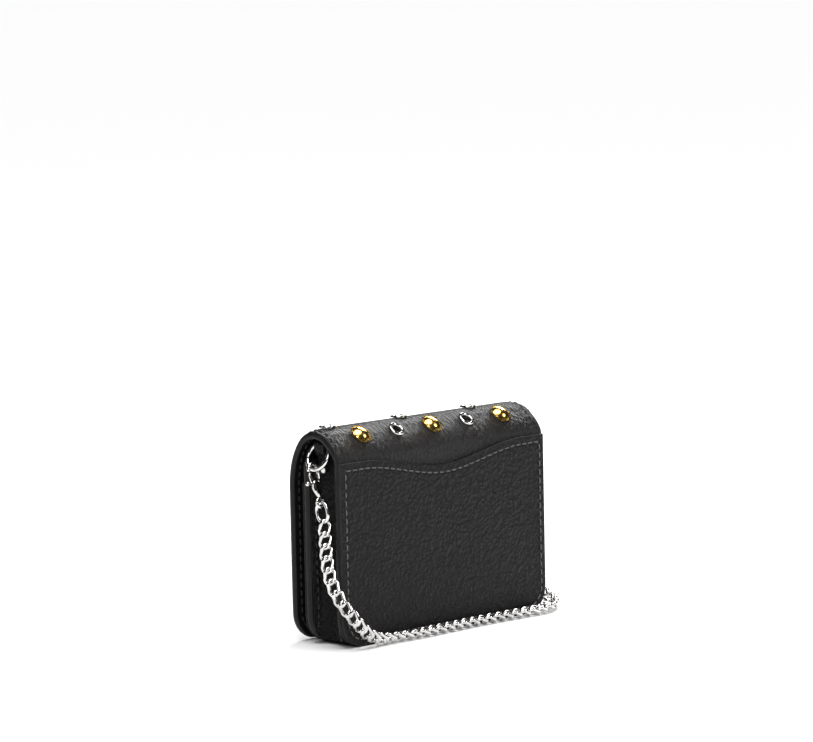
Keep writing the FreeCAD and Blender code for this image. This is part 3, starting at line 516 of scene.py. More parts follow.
def leather_piece(name, cut, place, thickness, materials, step=1.6 * MM, edge=0.45 * MM, seam=SEAM_IN,
                  groove=0.16 * MM, unevenness=0.08 * MM, extra_x=(), extra_v=(), holes=(), crease=None,
                  seed=1):
    """A solid leather piece with rounded, painted edges and a pressed groove under its seam.

    place(x, v, out) turns a place on the flat cut, and a height above its outer face, into three coordinates.
    """
    lines_v = grid_lines(cut.high - cut.low, step, [e - cut.low for e in extra_v])
    lines_x = grid_lines(2 * cut.half, step, [e + cut.half for e in extra_x])
    rows, columns = len(lines_v), len(lines_x)
    guess = cut.low + lines_v[:, 0] * (cut.high - cut.low) + lines_v[:, 1]
    wide = cut.half_at(guess)
    x = -wide[:, None] + lines_x[None, :, 0] * 2 * wide[:, None] + lines_x[None, :, 1]
    tops = cut.top_at(x)
    v = cut.low + lines_v[:, 0][:, None] * (tops - cut.low) + lines_v[:, 1][:, None]
    x, v = x.ravel(), v.ravel()
    inward = cut.inward(x, v)
    near = np.clip(edge - inward, 0, edge)
    drop = edge - np.sqrt(np.maximum(edge ** 2 - near ** 2, 0))
    face = -drop - groove * np.exp(-((inward - seam) / GROOVE_HALF_WIDTH) ** 2)
    face += unevenness * soft_hash(x, v, WAVINESS, seed) * np.clip(inward / FLAT_RIM, 0, 1)
    inner = -thickness + drop * INNER_ROUNDING
    for hx, hv, radius, deep in holes:
        face = np.where(np.hypot(x - hx, v - hv) < radius, -deep, face)
    outer_points = np.stack(place(x, v, face), axis=1)
    inner_points = np.stack(place(x, v, inner), axis=1)

    index = np.arange(rows * columns).reshape(rows, columns)
    a, b, c, d = index[:-1, :-1], index[:-1, 1:], index[1:, 1:], index[1:, :-1]
    sheet = np.stack([a, b, c, d], axis=-1).reshape(-1, 4)
    count = rows * columns
    faces = sheet.tolist() + (sheet[:, ::-1] + count).tolist()
    middle = inward[sheet].mean(axis=1)
    painted = middle < edge * PAINT_SHARE
    kinds = [1 if p else 0 for p in painted] + [1 if p else 2 for p in painted]

    loop = np.concatenate([index[0, :-1], index[:-1, -1], index[-1, :0:-1], index[:0:-1, 0]])
    lx, lv = x[loop], v[loop]
    ox, ov = cut.outward(lx, lv)
    rings = [loop]
    strip_points, strip_uv = [], []
    for k in range(1, EDGE_BANDS):
        share = k / EDGE_BANDS
        out = face[loop] + (inner[loop] - face[loop]) * share
        swell = EDGE_BULGE * thickness * math.sin(math.pi * share)
        strip_points.append(np.stack(place(lx + ox * swell, lv + ov * swell, out), axis=1))
        strip_uv.append(np.stack([lx + ox * share * thickness, lv + ov * share * thickness], axis=1))
        rings.append(2 * count + (k - 1) * len(loop) + np.arange(len(loop)))
    rings.append(loop + count)
    for first, second in zip(rings, rings[1:]):
        following = np.roll(np.arange(len(loop)), -1)
        for i, j in enumerate(following):
            faces.append((first[i], second[i], second[j], first[j]))
    kinds += [1] * (len(faces) - len(kinds))
    points = np.concatenate([outer_points, inner_points, *strip_points])
    uv = np.concatenate([np.stack([x, v], axis=1)] * 2 + strip_uv)
    faces = [tuple(int(i) for i in f) for f in faces]
    made = make_object(name, points, faces, materials, kinds, uv)
    if crease is not None:
        amounts = np.zeros(len(points), np.float32)
        amounts[:count] = crease(v)
        made.data.attributes.new("crease", "FLOAT", "POINT").data.foreach_set("value", amounts)
    fix_winding(made)
    return made


def fix_winding(made):
    """Turns every face outwards."""
    work = bmesh.new()
    work.from_mesh(made.data)
    bmesh.ops.recalc_face_normals(work, faces=work.faces)
    work.to_mesh(made.data)
    work.free()


def stitches(name, line, place, body, level=0.0, facing=1, pitch=3.4 * MM, length=2.5 * MM, radius=0.27 * MM,
             finish=None):
    """One seam: short thread loops along a line on the flat cut, each diving into the leather at its ends."""
    at = distances(line)
    number = max(1, int(at[-1] / pitch))
    points, faces, uv = [], [], []
    stations, sides = 7, 8
    for i in range(number):
        middle = (i + 0.5) * at[-1] / number
        slant = math.radians(dice.uniform(-3, 3))
        scale = dice.uniform(0.93, 1.04)
        base = len(points)
        for j in range(stations):
            share = 2 * j / (stations - 1) - 1
            spot = middle + share * length * scale / 2
            here = [np.interp(spot, at, line[:, k]) for k in (0, 1)]
            ahead = [np.interp(spot + 0.3 * MM, at, line[:, k]) - np.interp(spot - 0.3 * MM, at, line[:, k])
                     for k in (0, 1)]
            size = math.hypot(*ahead) or 1.0
            across = (-ahead[1] / size, ahead[0] / size)
            drift = math.sin(slant) * share * length / 2
            height = radius * (0.55 - 1.5 * share ** 4)
            thin = 1 - 0.25 * share ** 4
            for k in range(sides):
                turn = 2 * math.pi * k / sides
                off = drift + radius * thin * 1.1 * math.cos(turn)
                out = level + facing * (height + radius * thin * math.sin(turn))
                points.append((here[0] + across[0] * off, here[1] + across[1] * off, out))
                uv.append((spot, turn * radius))
        for j in range(stations - 1):
            for k in range(sides):
                a, b = base + j * sides + k, base + j * sides + (k + 1) % sides
                faces.append((a, b, b + sides, a + sides))
        faces.append(tuple(base + k for k in range(sides))[::-1])
        faces.append(tuple(base + (stations - 1) * sides + k for k in range(sides)))
    flat = np.array(points)
    solid = np.stack(place(flat[:, 0], flat[:, 1], flat[:, 2]), axis=1)
    made = make_object(name, solid, faces, [finish or Finish.stitching], None, uv)
    fix_winding(made)
    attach(made, body)


# ---- back, flap and slip pocket
FLAP_POINTS = [(BACK_Y, 0), (BACK_Y + 0.0003, TOP_Z - 0.0108), (POCKET_Y - 0.0036, TOP_Z - 0.0064),
               (POCKET_Y - 0.0104, TOP_Z - 0.0007), (FRONT_Y + 0.0140, TOP_Z),
               (FRONT_Y + 0.0085, TOP_Z - 0.0018), (FRONT_Y + 0.0024, TOP_Z - 0.0095),
               (FRONT_Y, TOP_Z - 0.020), (FRONT_Y, FLAP_LOW)]
FLAP_RADII = [0, 0.006, 0.018, 0.011, 0.010, 0.0115, 0.027, 0.040, 0]
FOLD_END = (0, 0.01238, 0.07628)
flap_line = Line(FLAP_POINTS, FLAP_RADII)
FLAP_OUTWARD = 1 if flap_line.normal(flap_line.length)[0] < 0 else -1
DROOP = 1.2 * MM                                  # how far the arch's two ends sink
DROOP_FROM, DROOP_OVER = 49 * MM, 8 * MM
TUCK = 0.3 * MM                                   # how far the front's foot leans in
TUCK_HEIGHT = 26 * MM
FRONT_SHARE = 0.6                                 # past this share of the flap's length it hangs at the front


def flap_place(x, v, out):
    """Up the back, over the arch and down the front; the arch's ends droop and the front's foot tucks in."""
    y, z = flap_line.place(v, out * FLAP_OUTWARD)
    up = flap_line.normal(v)[1] * FLAP_OUTWARD
    end = np.clip((np.abs(x) - DROOP_FROM) / DROOP_OVER, 0, 1)
    z = z - DROOP * end ** 2 * np.clip(up, 0, 1)
    foot = np.clip((TUCK_HEIGHT - z) / TUCK_HEIGHT, 0, 1) * (v > flap_line.length * FRONT_SHARE)
    y = y + TUCK * foot ** 2
    return x, y, z


def at_on_flap(y, z):
    """Distance along the flap's line of its point nearest to y, z."""
    gaps = np.hypot(flap_line.points[:, 0] - y, flap_line.points[:, 1] - z)
    return flap_line.at[int(gaps.argmin())]


def hole_places(node, radius, depth):
    """Centres of the separate rings in a node, as places on the flap's flat cut."""
    mesh = frame["nodes"][node].data
    points = np.array([v.co for v in mesh.vertices])
    owner = list(range(len(points)))

    def root(i):
        while owner[i] != i:
            owner[i] = owner[owner[i]]
            i = owner[i]
        return i
    key = {}
    for i, point in enumerate(np.round(points, 6)):
        first = key.setdefault(tuple(point), i)
        owner[root(i)] = root(first)
    for edge in mesh.edges:
        owner[root(edge.vertices[0])] = root(edge.vertices[1])
    groups = {}
    for i in range(len(points)):
        groups.setdefault(root(i), []).append(i)
    places = []
    for members in groups.values():
        centre = (points[members].min(0) + points[members].max(0)) / 2
        places.append((centre[0], at_on_flap(centre[1], centre[2]), radius, depth))
    return places


def around(places, spread, step):
    """Extra grid lines on both sides of some places."""
    lines = set()
    for place in places:
        for offset in np.arange(-spread, spread + step / 2, step):
            lines.add(round(place + offset, 6))
    return sorted(lines)


TRIM = 0.35 * MM                                  # how far the looks stay inside the CAD outline
THREAD_SINK = -0.05 * MM                          # stitches lie this deep in their groove


def build_skin():
    """The studded leather with its lining: one piece from the foot of the back to the foot of the front."""
    cut = Cut(HALF - TRIM, TRIM, flap_line.length - TRIM, CORNER, CORNER)
    holes = hole_places("silver_eyelets", 2.15 * MM, 1.7 * MM)
    columns = sorted({round(h[0], 4) for h in holes})
    rows = sorted({round(h[1], 4) for h in holes})
    fold = at_on_flap(FOLD_END[1], FOLD_END[2])

    def crease(v):
        """Creased leather over the arch, fading to plain grain within two or three centimetres."""
        bent = np.exp(-((v - fold - 14 * MM) / (20 * MM)) ** 2)
        return np.clip(bent * 1.5, 0, 1)
    near_hole, fine_step = 2.6 * MM, 0.55 * MM
    extra_v = around(rows, near_hole, fine_step) + around([fold - 2 * MM], 6 * MM, 0.5 * MM)
    skin = leather_piece("leather_skin", cut, flap_place, SKIN, [Finish.flap, Finish.edge, Finish.lining],
                         extra_x=around(columns, near_hole, fine_step), extra_v=extra_v, holes=holes,
                         unevenness=0.0, crease=crease, edge=0.55 * MM)
    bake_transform(skin)
    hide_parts("flap_outer", "flap_lining", "back_panel", "back_lining")

    line = u_line(cut.half - SEAM_IN + TRIM, fold + 2 * MM, cut.high - SEAM_IN, CORNER - SEAM_IN)
    stitches("flap_seam_outside", line, flap_place, "flap", level=THREAD_SINK)
    # The flap's inside seam takes the near-black thread: painted shade.
    stitches("flap_seam_inside", line, flap_place, "flap", level=-SKIN, facing=-1,
             finish=Finish.painted_shade_stitching)


def scoop(x, top, reach, dip):
    """A scooped top edge: flat shoulders beyond reach from the middle, and one long dip between them."""
    share = np.clip(np.abs(x) / reach, 0, 1)
    return top - dip * (1 - share * share * (3 - 2 * share))


def pocket_top(x):
    """The slip pocket's top edge."""
    return scoop(x, PANEL_TOP, 44 * MM, 6.2 * MM)


POCKET_SET_IN = 0.15 * MM                         # the pocket's face behind the CAD's, to leave room to swell
POCKET_SWELL = 0.25 * MM
SWELL_RISE = 12 * MM                              # the swell fades in over this height
FACE_DEPTH = 0.5 * MM                             # only the outer face swells, not the inside


def pocket_place(x, v, out):
    """On the back, swelling a little in the middle."""
    swell = POCKET_SWELL * np.clip(1 - (x / HALF) ** 2, 0, 1) * np.clip(v / SWELL_RISE, 0, 1)
    return x, POCKET_Y - POCKET_SET_IN + out + swell * (out > -FACE_DEPTH), v


def build_pocket():
    """The scooped slip pocket with its seams, and its edges in a lighter edge paint: a painted highlight
    along the top edge.
    """
    trim = 0.3 * MM
    cut = Cut(HALF - trim, trim, PANEL_TOP, CORNER, 0.0, pocket_top)
    # Its edges take the lighter edge paint, a painted highlight.
    piece = leather_piece("slip_pocket_skin", cut, pocket_place, 1.15 * MM,
                          [Finish.pocket, Finish.painted_highlight_edge, Finish.lining], edge=0.5 * MM, step=1.5 * MM, seed=4)
    finish_piece(piece, "root", "grained_leather", "slip_pocket")
    line = cut.seam(SEAM_IN - trim, start=PANEL_TOP - 3.4 * MM)
    stitches("pocket_seam_sides", line, pocket_place, "root", level=THREAD_SINK)
    x = np.arange(-HALF + SEAM_IN, HALF - SEAM_IN, 0.5 * MM)
    below_edge = 2.9 * MM
    top_line = np.stack([x, pocket_top(x) - below_edge], axis=1)
    stitches("pocket_seam_top", top_line, pocket_place, "root", level=THREAD_SINK)


# ---- front panel, slots, coin pocket
def upright_place(face_y, towards):
    """The place of a flat upright piece whose outer face is at face_y and looks to +Y (1) or -Y (-1)."""
    return lambda x, v, out: (x, face_y + towards * out, v)


def build_front_panel():
    """The panel behind the flap, lined, with one card slot sewn to its face."""
    low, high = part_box("front_panel")
    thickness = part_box("front_panel_lining")[1].y - low.y
    cut = Cut(HALF - TRIM, low.z + 0.55 * MM, high.z - 0.3 * MM, CORNER, 2 * MM)
    place = upright_place(low.y, -1)
    piece = leather_piece("front_panel_skin", cut, place, thickness,
                          [Finish.pocket, Finish.edge, Finish.lining], edge=0.6 * MM, seed=7)
    finish_piece(piece, "front_panel", "grained_leather", "front_panel", "front_panel_lining")
    stitches("front_panel_seam", cut.seam(SEAM_IN - TRIM), place, "front_panel")
    slot_low, slot_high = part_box("front_card_slot")
    shape = Cut(slot_high.x - 0.2 * MM, slot_low.z + 0.2 * MM, slot_high.z, CORNER - 0.3 * MM, 0.0,
                lambda x: scoop(x, slot_high.z, 40 * MM, 4 * MM))
    slot_place = upright_place(slot_low.y, -1)
    slot = leather_piece("front_card_slot_skin", shape, slot_place, slot_high.y - slot_low.y,
                         [Finish.pocket, Finish.edge, Finish.lining], edge=0.25 * MM, groove=0.1 * MM, seed=9)
    finish_piece(slot, "front_panel", "smooth_leather", "front_card_slot")
    stitches("front_card_slot_seam", shape.seam(SEAM_IN), slot_place, "front_panel")


def build_inner_layers():
    """Card slots and the coin pocket's two walls: thin leather with turned top edges."""
    for node, towards in (("back_card_slot_1", -1), ("back_card_slot_2", -1), ("coin_pocket_rear", 1),
                          ("coin_pocket_front", -1)):
        low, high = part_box(node)
        cut = Cut(high.x - 0.1 * MM, low.z, high.z, 0, 3 * MM if "slot" in node else 0)
        place = upright_place(low.y if towards < 0 else high.y, towards)
        piece = leather_piece(node + "_skin", cut, place, high.y - low.y,
                              [Finish.lining, Finish.edge, Finish.lining], edge=0.22 * MM, groove=0.06 * MM,
                              seam=1.6 * MM, unevenness=0.03 * MM)
        slot = "smooth_leather" if "slot" in node else "lining_leather"
        finish_piece(piece, "root", slot, node)


# ---- gussets
def build_gusset(name, side):
    """One folded strip: sewn to the back, pleated inwards and brought out again to the front panel."""
    back = LINING_Y - 0.15 * MM
    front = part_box("front_panel_lining")[1].y
    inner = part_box("gusset_right")[0].x + 0.95 * MM
    line = Line([(HALF - 1.2 * MM, back), (inner + 2.6 * MM, back - 0.3 * MM), (inner, back - 4.5 * MM),
                 (inner, front + 4.6 * MM), (inner + 1.2 * MM, front + 1.9 * MM),
                 (HALF - 1.0 * MM, front + 0.25 * MM)],
                [0, 1.4 * MM, 3 * MM, 3 * MM, 1.6 * MM, 0])
    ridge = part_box("gusset_right")[1].z
    shoulder = ridge - 5.4 * MM
    dip = ridge - shoulder + 1.5 * MM

    def top_at(t):
        """The gusset's top: a crown three millimetres each side of its middle, then a slope to the seams."""
        share = np.clip((np.abs(t + 0.5 * MM) - 3.0 * MM) / (4 * MM), 0, 1)
        return ridge - dip * share * share * (3 - 2 * share)

    def place(t, v, out):
        """Along the folded line, with a slight ripple that dies out towards the foot."""
        a, b = line.place(t + line.length / 2, out)
        ripple = np.sin(v / (9 * MM) + t / (2.5 * MM)) * np.clip((v - 4 * MM) / (12 * MM), 0, 1)
        wave = 0.22 * MM * ripple
        return side * (a + wave), b, v
    cut = Cut(line.length / 2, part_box("gusset_base")[0].z + 0.3 * MM, ridge, 5 * MM, 0, top_at)
    skin = leather_piece(f"gusset_skin_{name}", cut, place, 0.9 * MM,
                         [Finish.gusset, Finish.edge, Finish.gusset], step=0.9 * MM, edge=0.2 * MM,
                         groove=0.0, seam=1.4 * MM, unevenness=0.05 * MM, seed=3)
    seam_t = line.length / 2 - 1.9 * MM
    heights = np.arange(6 * MM, shoulder - 3 * MM, 0.5 * MM)
    front_seam = np.stack([np.full_like(heights, seam_t), heights], axis=1)
    # The gusset's seam takes the near-black thread: painted shade in its recess.
    stitches(f"gusset_seam_{name}", front_seam, place, "front_panel", length=2.2 * MM,
             finish=Finish.painted_shade_stitching)
    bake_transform(skin)
    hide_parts(f"gusset_{name}", f"gusset_pleat_{name}")


# ---- ring tabs
def build_tab(name, side):
    """A leather strip that goes up the gusset, loops over the ring and is riveted below it."""
    low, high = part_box(f"ring_tab_{name}")
    middle_y = (low.y + high.y) / 2
    ring = joint(f"ring_{name}_turn")
    centre = Vector(ring["pos_m"])
    axis = Vector(ring["axis"])
    lean = math.atan2(axis.z, abs(axis.x))
    ring_low, ring_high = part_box(f"ring_{name}")
    wire = 0.95 * MM
    reach = (ring_high.y - ring_low.y) / 2 - wire
    hang = Vector((abs(centre.x) - math.sin(lean) * reach, centre.z + math.cos(lean) * reach))
    wall = min(abs(low.x), abs(high.x)) + 0.05 * MM
    clear = wire + 0.3 * MM
    over = clear + 0.1 * MM
    line = Line([(wall, low.z + 0.3 * MM), (wall, hang.y - 1.2 * MM), (hang.x - over, hang.y + over),
                 (hang.x + clear, hang.y + over), (hang.x + over, hang.y - 2.2 * MM),
                 (wall + 1.3 * MM, hang.y - 5.5 * MM), (wall + 1.25 * MM, hang.y - 8.0 * MM)],
                [0, 1.0 * MM, 0.9 * MM, 1.0 * MM, 1.5 * MM, 2 * MM, 0])

    def place(x, v, out):
        a, b = line.place(v, out + 0.95 * MM)
        return side * a, middle_y + x, b
    cut = Cut(2.5 * MM, 0, line.length, 0.8 * MM, 1.6 * MM)
    strip = leather_piece(f"ring_tab_skin_{name}", cut, place, 0.95 * MM,
                          [Finish.gusset, Finish.edge, Finish.gusset], step=0.7 * MM, edge=0.22 * MM,
                          groove=0.05 * MM, seam=0.9 * MM, unevenness=0.0)
    finish_piece(strip, "root", "smooth_leather", f"ring_tab_{name}")


# ---- clasps
def clasp_frame(name, side):
    """Origin at the clasp's eye, u outwards, v up the clasp and w through its thickness."""
    swivel = joint(f"clasp_{name}_swivel")
    up = Vector(swivel["axis"]).normalized()
    if up.z < 0:
        up = -up
    outward = Vector((side, 0, 0))
    turn = Matrix((outward, up, outward.cross(up))).transposed().to_4x4()
    return Matrix.Translation(Vector(swivel["pos_m"])) @ turn


def mould(name, parts, placed, voxel, material):
    """Joins closed meshes into one cast shape, with soft fillets where they meet."""
    points, faces = [], []
    for part_points, part_faces in parts:
        base = len(points)
        points += [placed @ (Vector(p) * MM) for p in part_points]
        faces += [tuple(i + base for i in f) for f in part_faces]
    rough = make_object(name + "_rough", [tuple(p) for p in points], faces, [material])
    fix_winding(rough)
    remesh = rough.modifiers.new("cast", "REMESH")
    remesh.mode = "VOXEL"
    remesh.voxel_size = voxel * MM
    soften = rough.modifiers.new("soften", "SMOOTH")
    soften.iterations = 4
    soften.factor = 0.5
    depsgraph = bpy.context.evaluated_depsgraph_get()
    mesh = bpy.data.meshes.new_from_object(rough.evaluated_get(depsgraph))
    mesh.name = name
    bpy.data.objects.remove(rough)
    made = bpy.data.objects.new(name, mesh)
    scene.collection.objects.link(made)
    if not mesh.materials:
        mesh.materials.append(material)
    mesh.polygons.foreach_set("use_smooth", [True] * len(mesh.polygons))
    return made


def swept(stations, sides=16):
    """A tube whose stations are (u, v, half width, half depth), lying in the clasp's plane."""
    u, v, half_widths, half_depths = zip(*stations)
    path = [Vector((*spot, 0)) for spot in zip(u, v)]
    return tube(path, half_depths, sides, flat=half_widths, across=(0, 0, 1))


# Millimetres from the clasp's eye, in the clasp's own frame.
EYE_RADIUS = 1.9                                  # to the middle of the eye's wire
HOOK_CENTRE = 13.4                                # eye to the middle of the hook's bend
HOOK_BEND = 2.34
KNOB = 0.95                                       # radius of the knob that opens the gate


def build_clasp(name, side):
    """The cast hook with its eye, and the sprung gate with its knob."""
    placed = clasp_frame(name, side)
    turns = np.linspace(0, 2 * math.pi, 28)[:-1]
    eye = tube([Vector((EYE_RADIUS * math.cos(t), EYE_RADIUS * math.sin(t), 0)) for t in turns], 0.62, 10,
               closed=True)
    body = swept([(0.0, 1.7, 0.45, 0.45), (0.0, 2.5, 0.8, 0.72), (0.0, 3.6, 1.5, 0.95),
                  (0.05, 5.0, 2.2, 1.02), (0.1, 6.4, 2.55, 1.0), (-0.1, 7.5, 2.4, 0.92),
                  (-0.5, 8.4, 1.7, 0.76)])
    spine = [(-0.9, 6.2, 0.95, 0.85), (-1.5, 7.8, 0.95, 0.85), (-2.0, 9.4, 0.82, 0.82),
             (-2.3, 11.2, 0.76, 0.8), (-2.34, 13.0, 0.74, 0.8)]
    for turn in np.linspace(0, math.pi, 9):
        spine.append((-HOOK_BEND * math.cos(turn), HOOK_CENTRE + HOOK_BEND * math.sin(turn), 0.74, 0.8))
    spine.append((2.32, 12.8, 0.64, 0.7))
    casting = mould(f"clasp_casting_{name}", [eye, body, swept(spine)], placed, 0.13, Finish.nickel)
    finish_piece(casting, f"clasp_{name}", "polished_nickel", f"clasp_{name}", f"clasp_pin_{name}",
                 f"gate_spring_{name}")
    gate = swept([(1.7, 7.4, 0.72, 0.62), (2.0, 8.4, 0.68, 0.6), (2.2, 9.8, 0.6, 0.55),
                  (2.34, 11.2, 0.56, 0.52), (2.3, 12.2, 0.48, 0.46)])
    lever = tube([Vector((2.0, 8.0, 0)), Vector((3.2, 7.9, 0)), Vector((4.1, 8.0, 0))], [0.6, 0.5, 0.55], 10)
    turns = np.linspace(0.05, math.pi - 0.05, 9)
    knob_path = [Vector((4.5, 8.05 - KNOB * math.cos(t), 0)) for t in turns]
    knob = tube(knob_path, [KNOB * math.sin(t) for t in turns], 12)
    lever_piece = mould(f"clasp_gate_{name}", [gate, lever, knob], placed, 0.11, Finish.nickel)
    finish_piece(lever_piece, f"gate_{name}", "polished_nickel", f"gate_{name}")


# ---- chain
CHAIN_POINTS = [
    (58.2, 8.1, 49.2), (59.5, 9.7, 41.8), (60.9, 11.9, 34.4), (62.1, 15.2, 27.0), (61.4, 19.6, 20.0),
    (57.2, 22.3, 13.0), (50.8, 22.2, 6.6), (43.2, 21.2, 2.8), (33.0, 20.3, 2.35), (18.0, 20.4, 2.35),
    (-2.0, 19.4, 2.35), (-22.0, 19.0, 2.35), (-37.0, 19.9, 2.35), (-49.5, 20.8, 2.4), (-60.0, 17.4, 2.6),
    (-66.8, 8.6, 2.8), (-69.4, -1.6, 5.6), (-69.8, -9.0, 13.0), (-69.2, -11.0, 23.4), (-67.0, -7.6, 33.4),
    (-63.0, 0.0, 41.6), (-58.2, 8.1, 49.2),
]
CHAIN_FACES = [(0.0, (0.69, 0.72, 0.0)), (0.15, (0.62, 0.76, -0.1)), (0.26, (0.25, 0.75, -0.6)),
               (0.31, (0.0, 0.35, -0.94)), (0.37, (0.0, 0.0, -1.0)), (0.66, (0.0, 0.0, -1.0)),
               (0.74, (-0.4, 0.3, -0.8)), (0.84, (-1.0, 0.2, -0.2)), (1.0, (-0.75, 0.65, 0.0))]
LINK_WIRE = 1.6 * MM
LINK_LENGTH = 8.0 * MM
LINK_WIDTH = 5.5 * MM
LINK_PITCH = 4.8 * MM
LINK_TWIST = math.radians(46)
LINK_SLANT = math.radians(13)


def chain_route():
    """The chain's middle line, read off a smooth curve through the listed points."""
    curve = bpy.data.curves.new("chain_route", "CURVE")
    curve.dimensions = "3D"
    curve.resolution_u = 24
    spline = curve.splines.new("NURBS")
    spline.points.add(len(CHAIN_POINTS) - 1)
    for point, place in zip(spline.points, CHAIN_POINTS):
        point.co = (*(c * MM for c in place), 1)
    spline.order_u = 3
    spline.use_endpoint_u = True
    holder = bpy.data.objects.new("chain_route", curve)
    scene.collection.objects.link(holder)
    mesh = bpy.data.meshes.new_from_object(holder)
    points = np.array([v.co for v in mesh.vertices])
    bpy.data.objects.remove(holder)
    bpy.data.meshes.remove(mesh)
    return points


def link_shape():
    """Middle line of one curb link, as (along, across, twist): straight sides and round ends."""
    half_long, half_wide = (LINK_LENGTH - LINK_WIRE) / 2, (LINK_WIDTH - LINK_WIRE) / 2
    straight = half_long - half_wide
    line = []
    for t in np.linspace(-math.pi / 2, math.pi / 2, 13):
        line.append((straight + half_wide * math.cos(t), half_wide * math.sin(t)))
    for t in np.linspace(math.pi / 2, 3 * math.pi / 2, 13):
        line.append((-straight + half_wide * math.cos(t), half_wide * math.sin(t)))
    return [(u, v, LINK_TWIST * u / half_long) for u, v in line]


def build_chain():
    """Curb links, spaced evenly along the route and turned to lie as they do in the photo."""
    route = chain_route()
    at = distances(route)
    total = at[-1]
    inset = LINK_LENGTH / 2 - LINK_WIRE - 0.75 * MM
    number = round((total - 2 * inset) / LINK_PITCH) + 1
    shares = [s for s, face in CHAIN_FACES]
    turns = np.array([face for s, face in CHAIN_FACES])
    shape = link_shape()
    points, faces = [], []

    def on_route(distance):
        return Vector([np.interp(distance, at, route[:, k]) for k in range(3)])
    for i in range(number):
        middle = inset + i * (total - 2 * inset) / (number - 1)
        here = on_route(middle)
        ahead = (on_route(middle + 1.5 * MM) - on_route(middle - 1.5 * MM)).normalized()
        face = Vector([np.interp(middle / total, shares, turns[:, k]) for k in range(3)])
        face = (face - ahead * face.dot(ahead)).normalized()
        wobble = Matrix.Rotation(math.radians(dice.uniform(-4, 4)), 3, ahead)
        face = wobble @ face
        across = face.cross(ahead)
        across, ahead = (across * math.cos(LINK_SLANT) + ahead * math.sin(LINK_SLANT),
                         ahead * math.cos(LINK_SLANT) - across * math.sin(LINK_SLANT))
        line = []
        for u, v, turn in shape:
            line.append(here + ahead * u + (across * math.cos(turn) + face * math.sin(turn)) * v)
        link_points, link_faces = tube(line, LINK_WIRE / 2, 12, closed=True)
        base = len(points)
        points += [tuple(p) for p in link_points]
        faces += [tuple(k + base for k in f) for f in link_faces]
    chain = make_object("curb_chain", points, faces, [Finish.nickel])
    fix_winding(chain)
    finish_piece(chain, "root", "polished_nickel", "chain")
    path = [tuple(p) for p in route]
    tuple(path[0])
    print(f"chain route {total / MM:.1f} mm, {number} links")


# ---- zip
def build_zip_teeth():
    """Two rows of small blocks that mesh along the tape's middle."""
    low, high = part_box("zip_teeth")
    pitch = 1.5 * MM
    middle_y = (low.y + high.y) / 2
    points, faces = [], []
    number = int((high.x - low.x) / pitch)
    for i in range(number):
        x = low.x + (i + 0.5) * pitch
        shift = (0.18 if i % 2 else -0.18) * MM
        size = (0.52 * MM, high.y - low.y - 0.4 * MM, high.z - low.z)
        base = len(points)
        for z, shrink in ((0, 1.0), (0.75, 1.0), (1.0, 0.72)):
            for sx, sy in ((-1, -1), (1, -1), (1, 1), (-1, 1)):
                points.append((x + sx * size[0] / 2 * shrink, middle_y + shift + sy * size[1] / 2 * shrink,
                               low.z + z * size[2]))
        for level in (0, 4):
            for k in range(4):
                a, b = base + level + k, base + level + (k + 1) % 4
                faces.append((a, b, b + 4, a + 4))
        faces.append(tuple(base + k for k in (3, 2, 1, 0)))
        faces.append(tuple(base + 8 + k for k in range(4)))
    teeth = make_object("zip_teeth_row", points, faces, [Finish.nickel])
    teeth.data.polygons.foreach_set("use_smooth", [False] * len(teeth.data.polygons))
    finish_piece(teeth, "root", "polished_nickel", "zip_teeth")


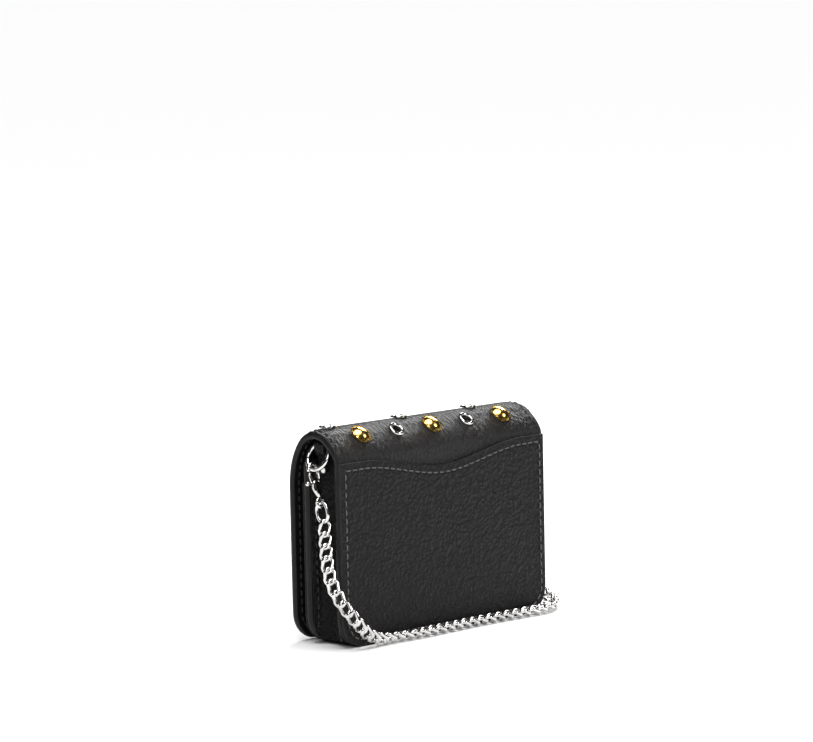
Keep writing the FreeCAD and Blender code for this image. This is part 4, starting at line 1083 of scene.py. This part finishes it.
# ---- carried-over hardware
def finish_hardware():
    """CAD pieces whose shape is right keep it, and get their real finish."""
    finishes = {
        Finish.gold: ["gold_studs"],
        Finish.nickel: ["silver_eyelets", "snap_socket", "snap_stud", "zip_slider", "zip_pull",
                        "tab_rivet_right", "tab_rivet_left", "end_link_right", "end_link_left",
                        "ring_right", "ring_left"],
        Finish.tape: ["zip_tape_front", "zip_tape_rear"],
        Finish.lining_solid: ["gusset_base"],
    }
    for material, names in finishes.items():
        for name in names:
            piece = frame["nodes"][name]
            piece.data.materials.clear()
            piece.data.materials.append(material)


# ---- floor and light
def build_stage():
    """A white ground, a sun and three softboxes."""
    size = 30.0
    floor = make_object("floor", [(-size, -size, 0), (size, -size, 0), (size, size, 0), (-size, size, 0)],
                        [(0, 1, 2, 3)], [])
    material, tree, shader = new_material("pale_floor", (0.9, 0.9, 0.9), 0.85)
    shader.inputs["Specular IOR Level"].default_value = 0.1
    floor.data.materials.append(material)

    # Dark at eye level and bright overhead, as between black studio flags, so polished metal shows contrast.
    world = bpy.data.worlds.new("studio")
    world.use_nodes = True
    scene.world = world
    tree = world.node_tree
    background = tree.nodes["Background"]
    height = add(tree, "ShaderNodeSeparateXYZ")
    tree.links.new(add(tree, "ShaderNodeTexCoord").outputs["Generated"], height.inputs["Vector"])
    tree.links.new(ramp(tree, height.outputs["Z"], 0.02, 0.75, 0.34, 0.95), background.inputs["Strength"])

    def lamp_at(name, kind, place, power, aim=(0, 0, 0.04)):
        data = bpy.data.lights.new(name, kind)
        data.energy = power
        lamp = bpy.data.objects.new(name, data)
        lamp.location = place
        direction = Vector(place) - Vector(aim)
        lamp.rotation_euler = direction.to_track_quat("Z", "Y").to_euler()
        scene.collection.objects.link(lamp)
        return data
    overhead = lamp_at("overhead", "SUN", (0.25, 0.35, 2.0), 3.5)
    overhead.angle = math.radians(50)
    softboxes = [("front", (1.25, 1.05, 0.95), 0.7, 9.0), ("side", (-0.9, 1.3, 0.9), 0.5, 7.0),
                 ("ridge", (-1.05, -0.55, 0.9), 0.7, 15.0)]
    for name, place, size, power in softboxes:
        softbox = lamp_at(name, "AREA", place, power)
        softbox.shape = "SQUARE"
        softbox.size = size
    scene.view_settings.view_transform = "Standard"


# ---- the whole wallet
make_camera()
build_chain()
build_skin()
build_pocket()
build_front_panel()
build_inner_layers()
for name, side in (("right", 1), ("left", -1)):
    build_gusset(name, side)
    build_tab(name, side)
    build_clasp(name, side)
build_zip_teeth()
finish_hardware()
build_stage()
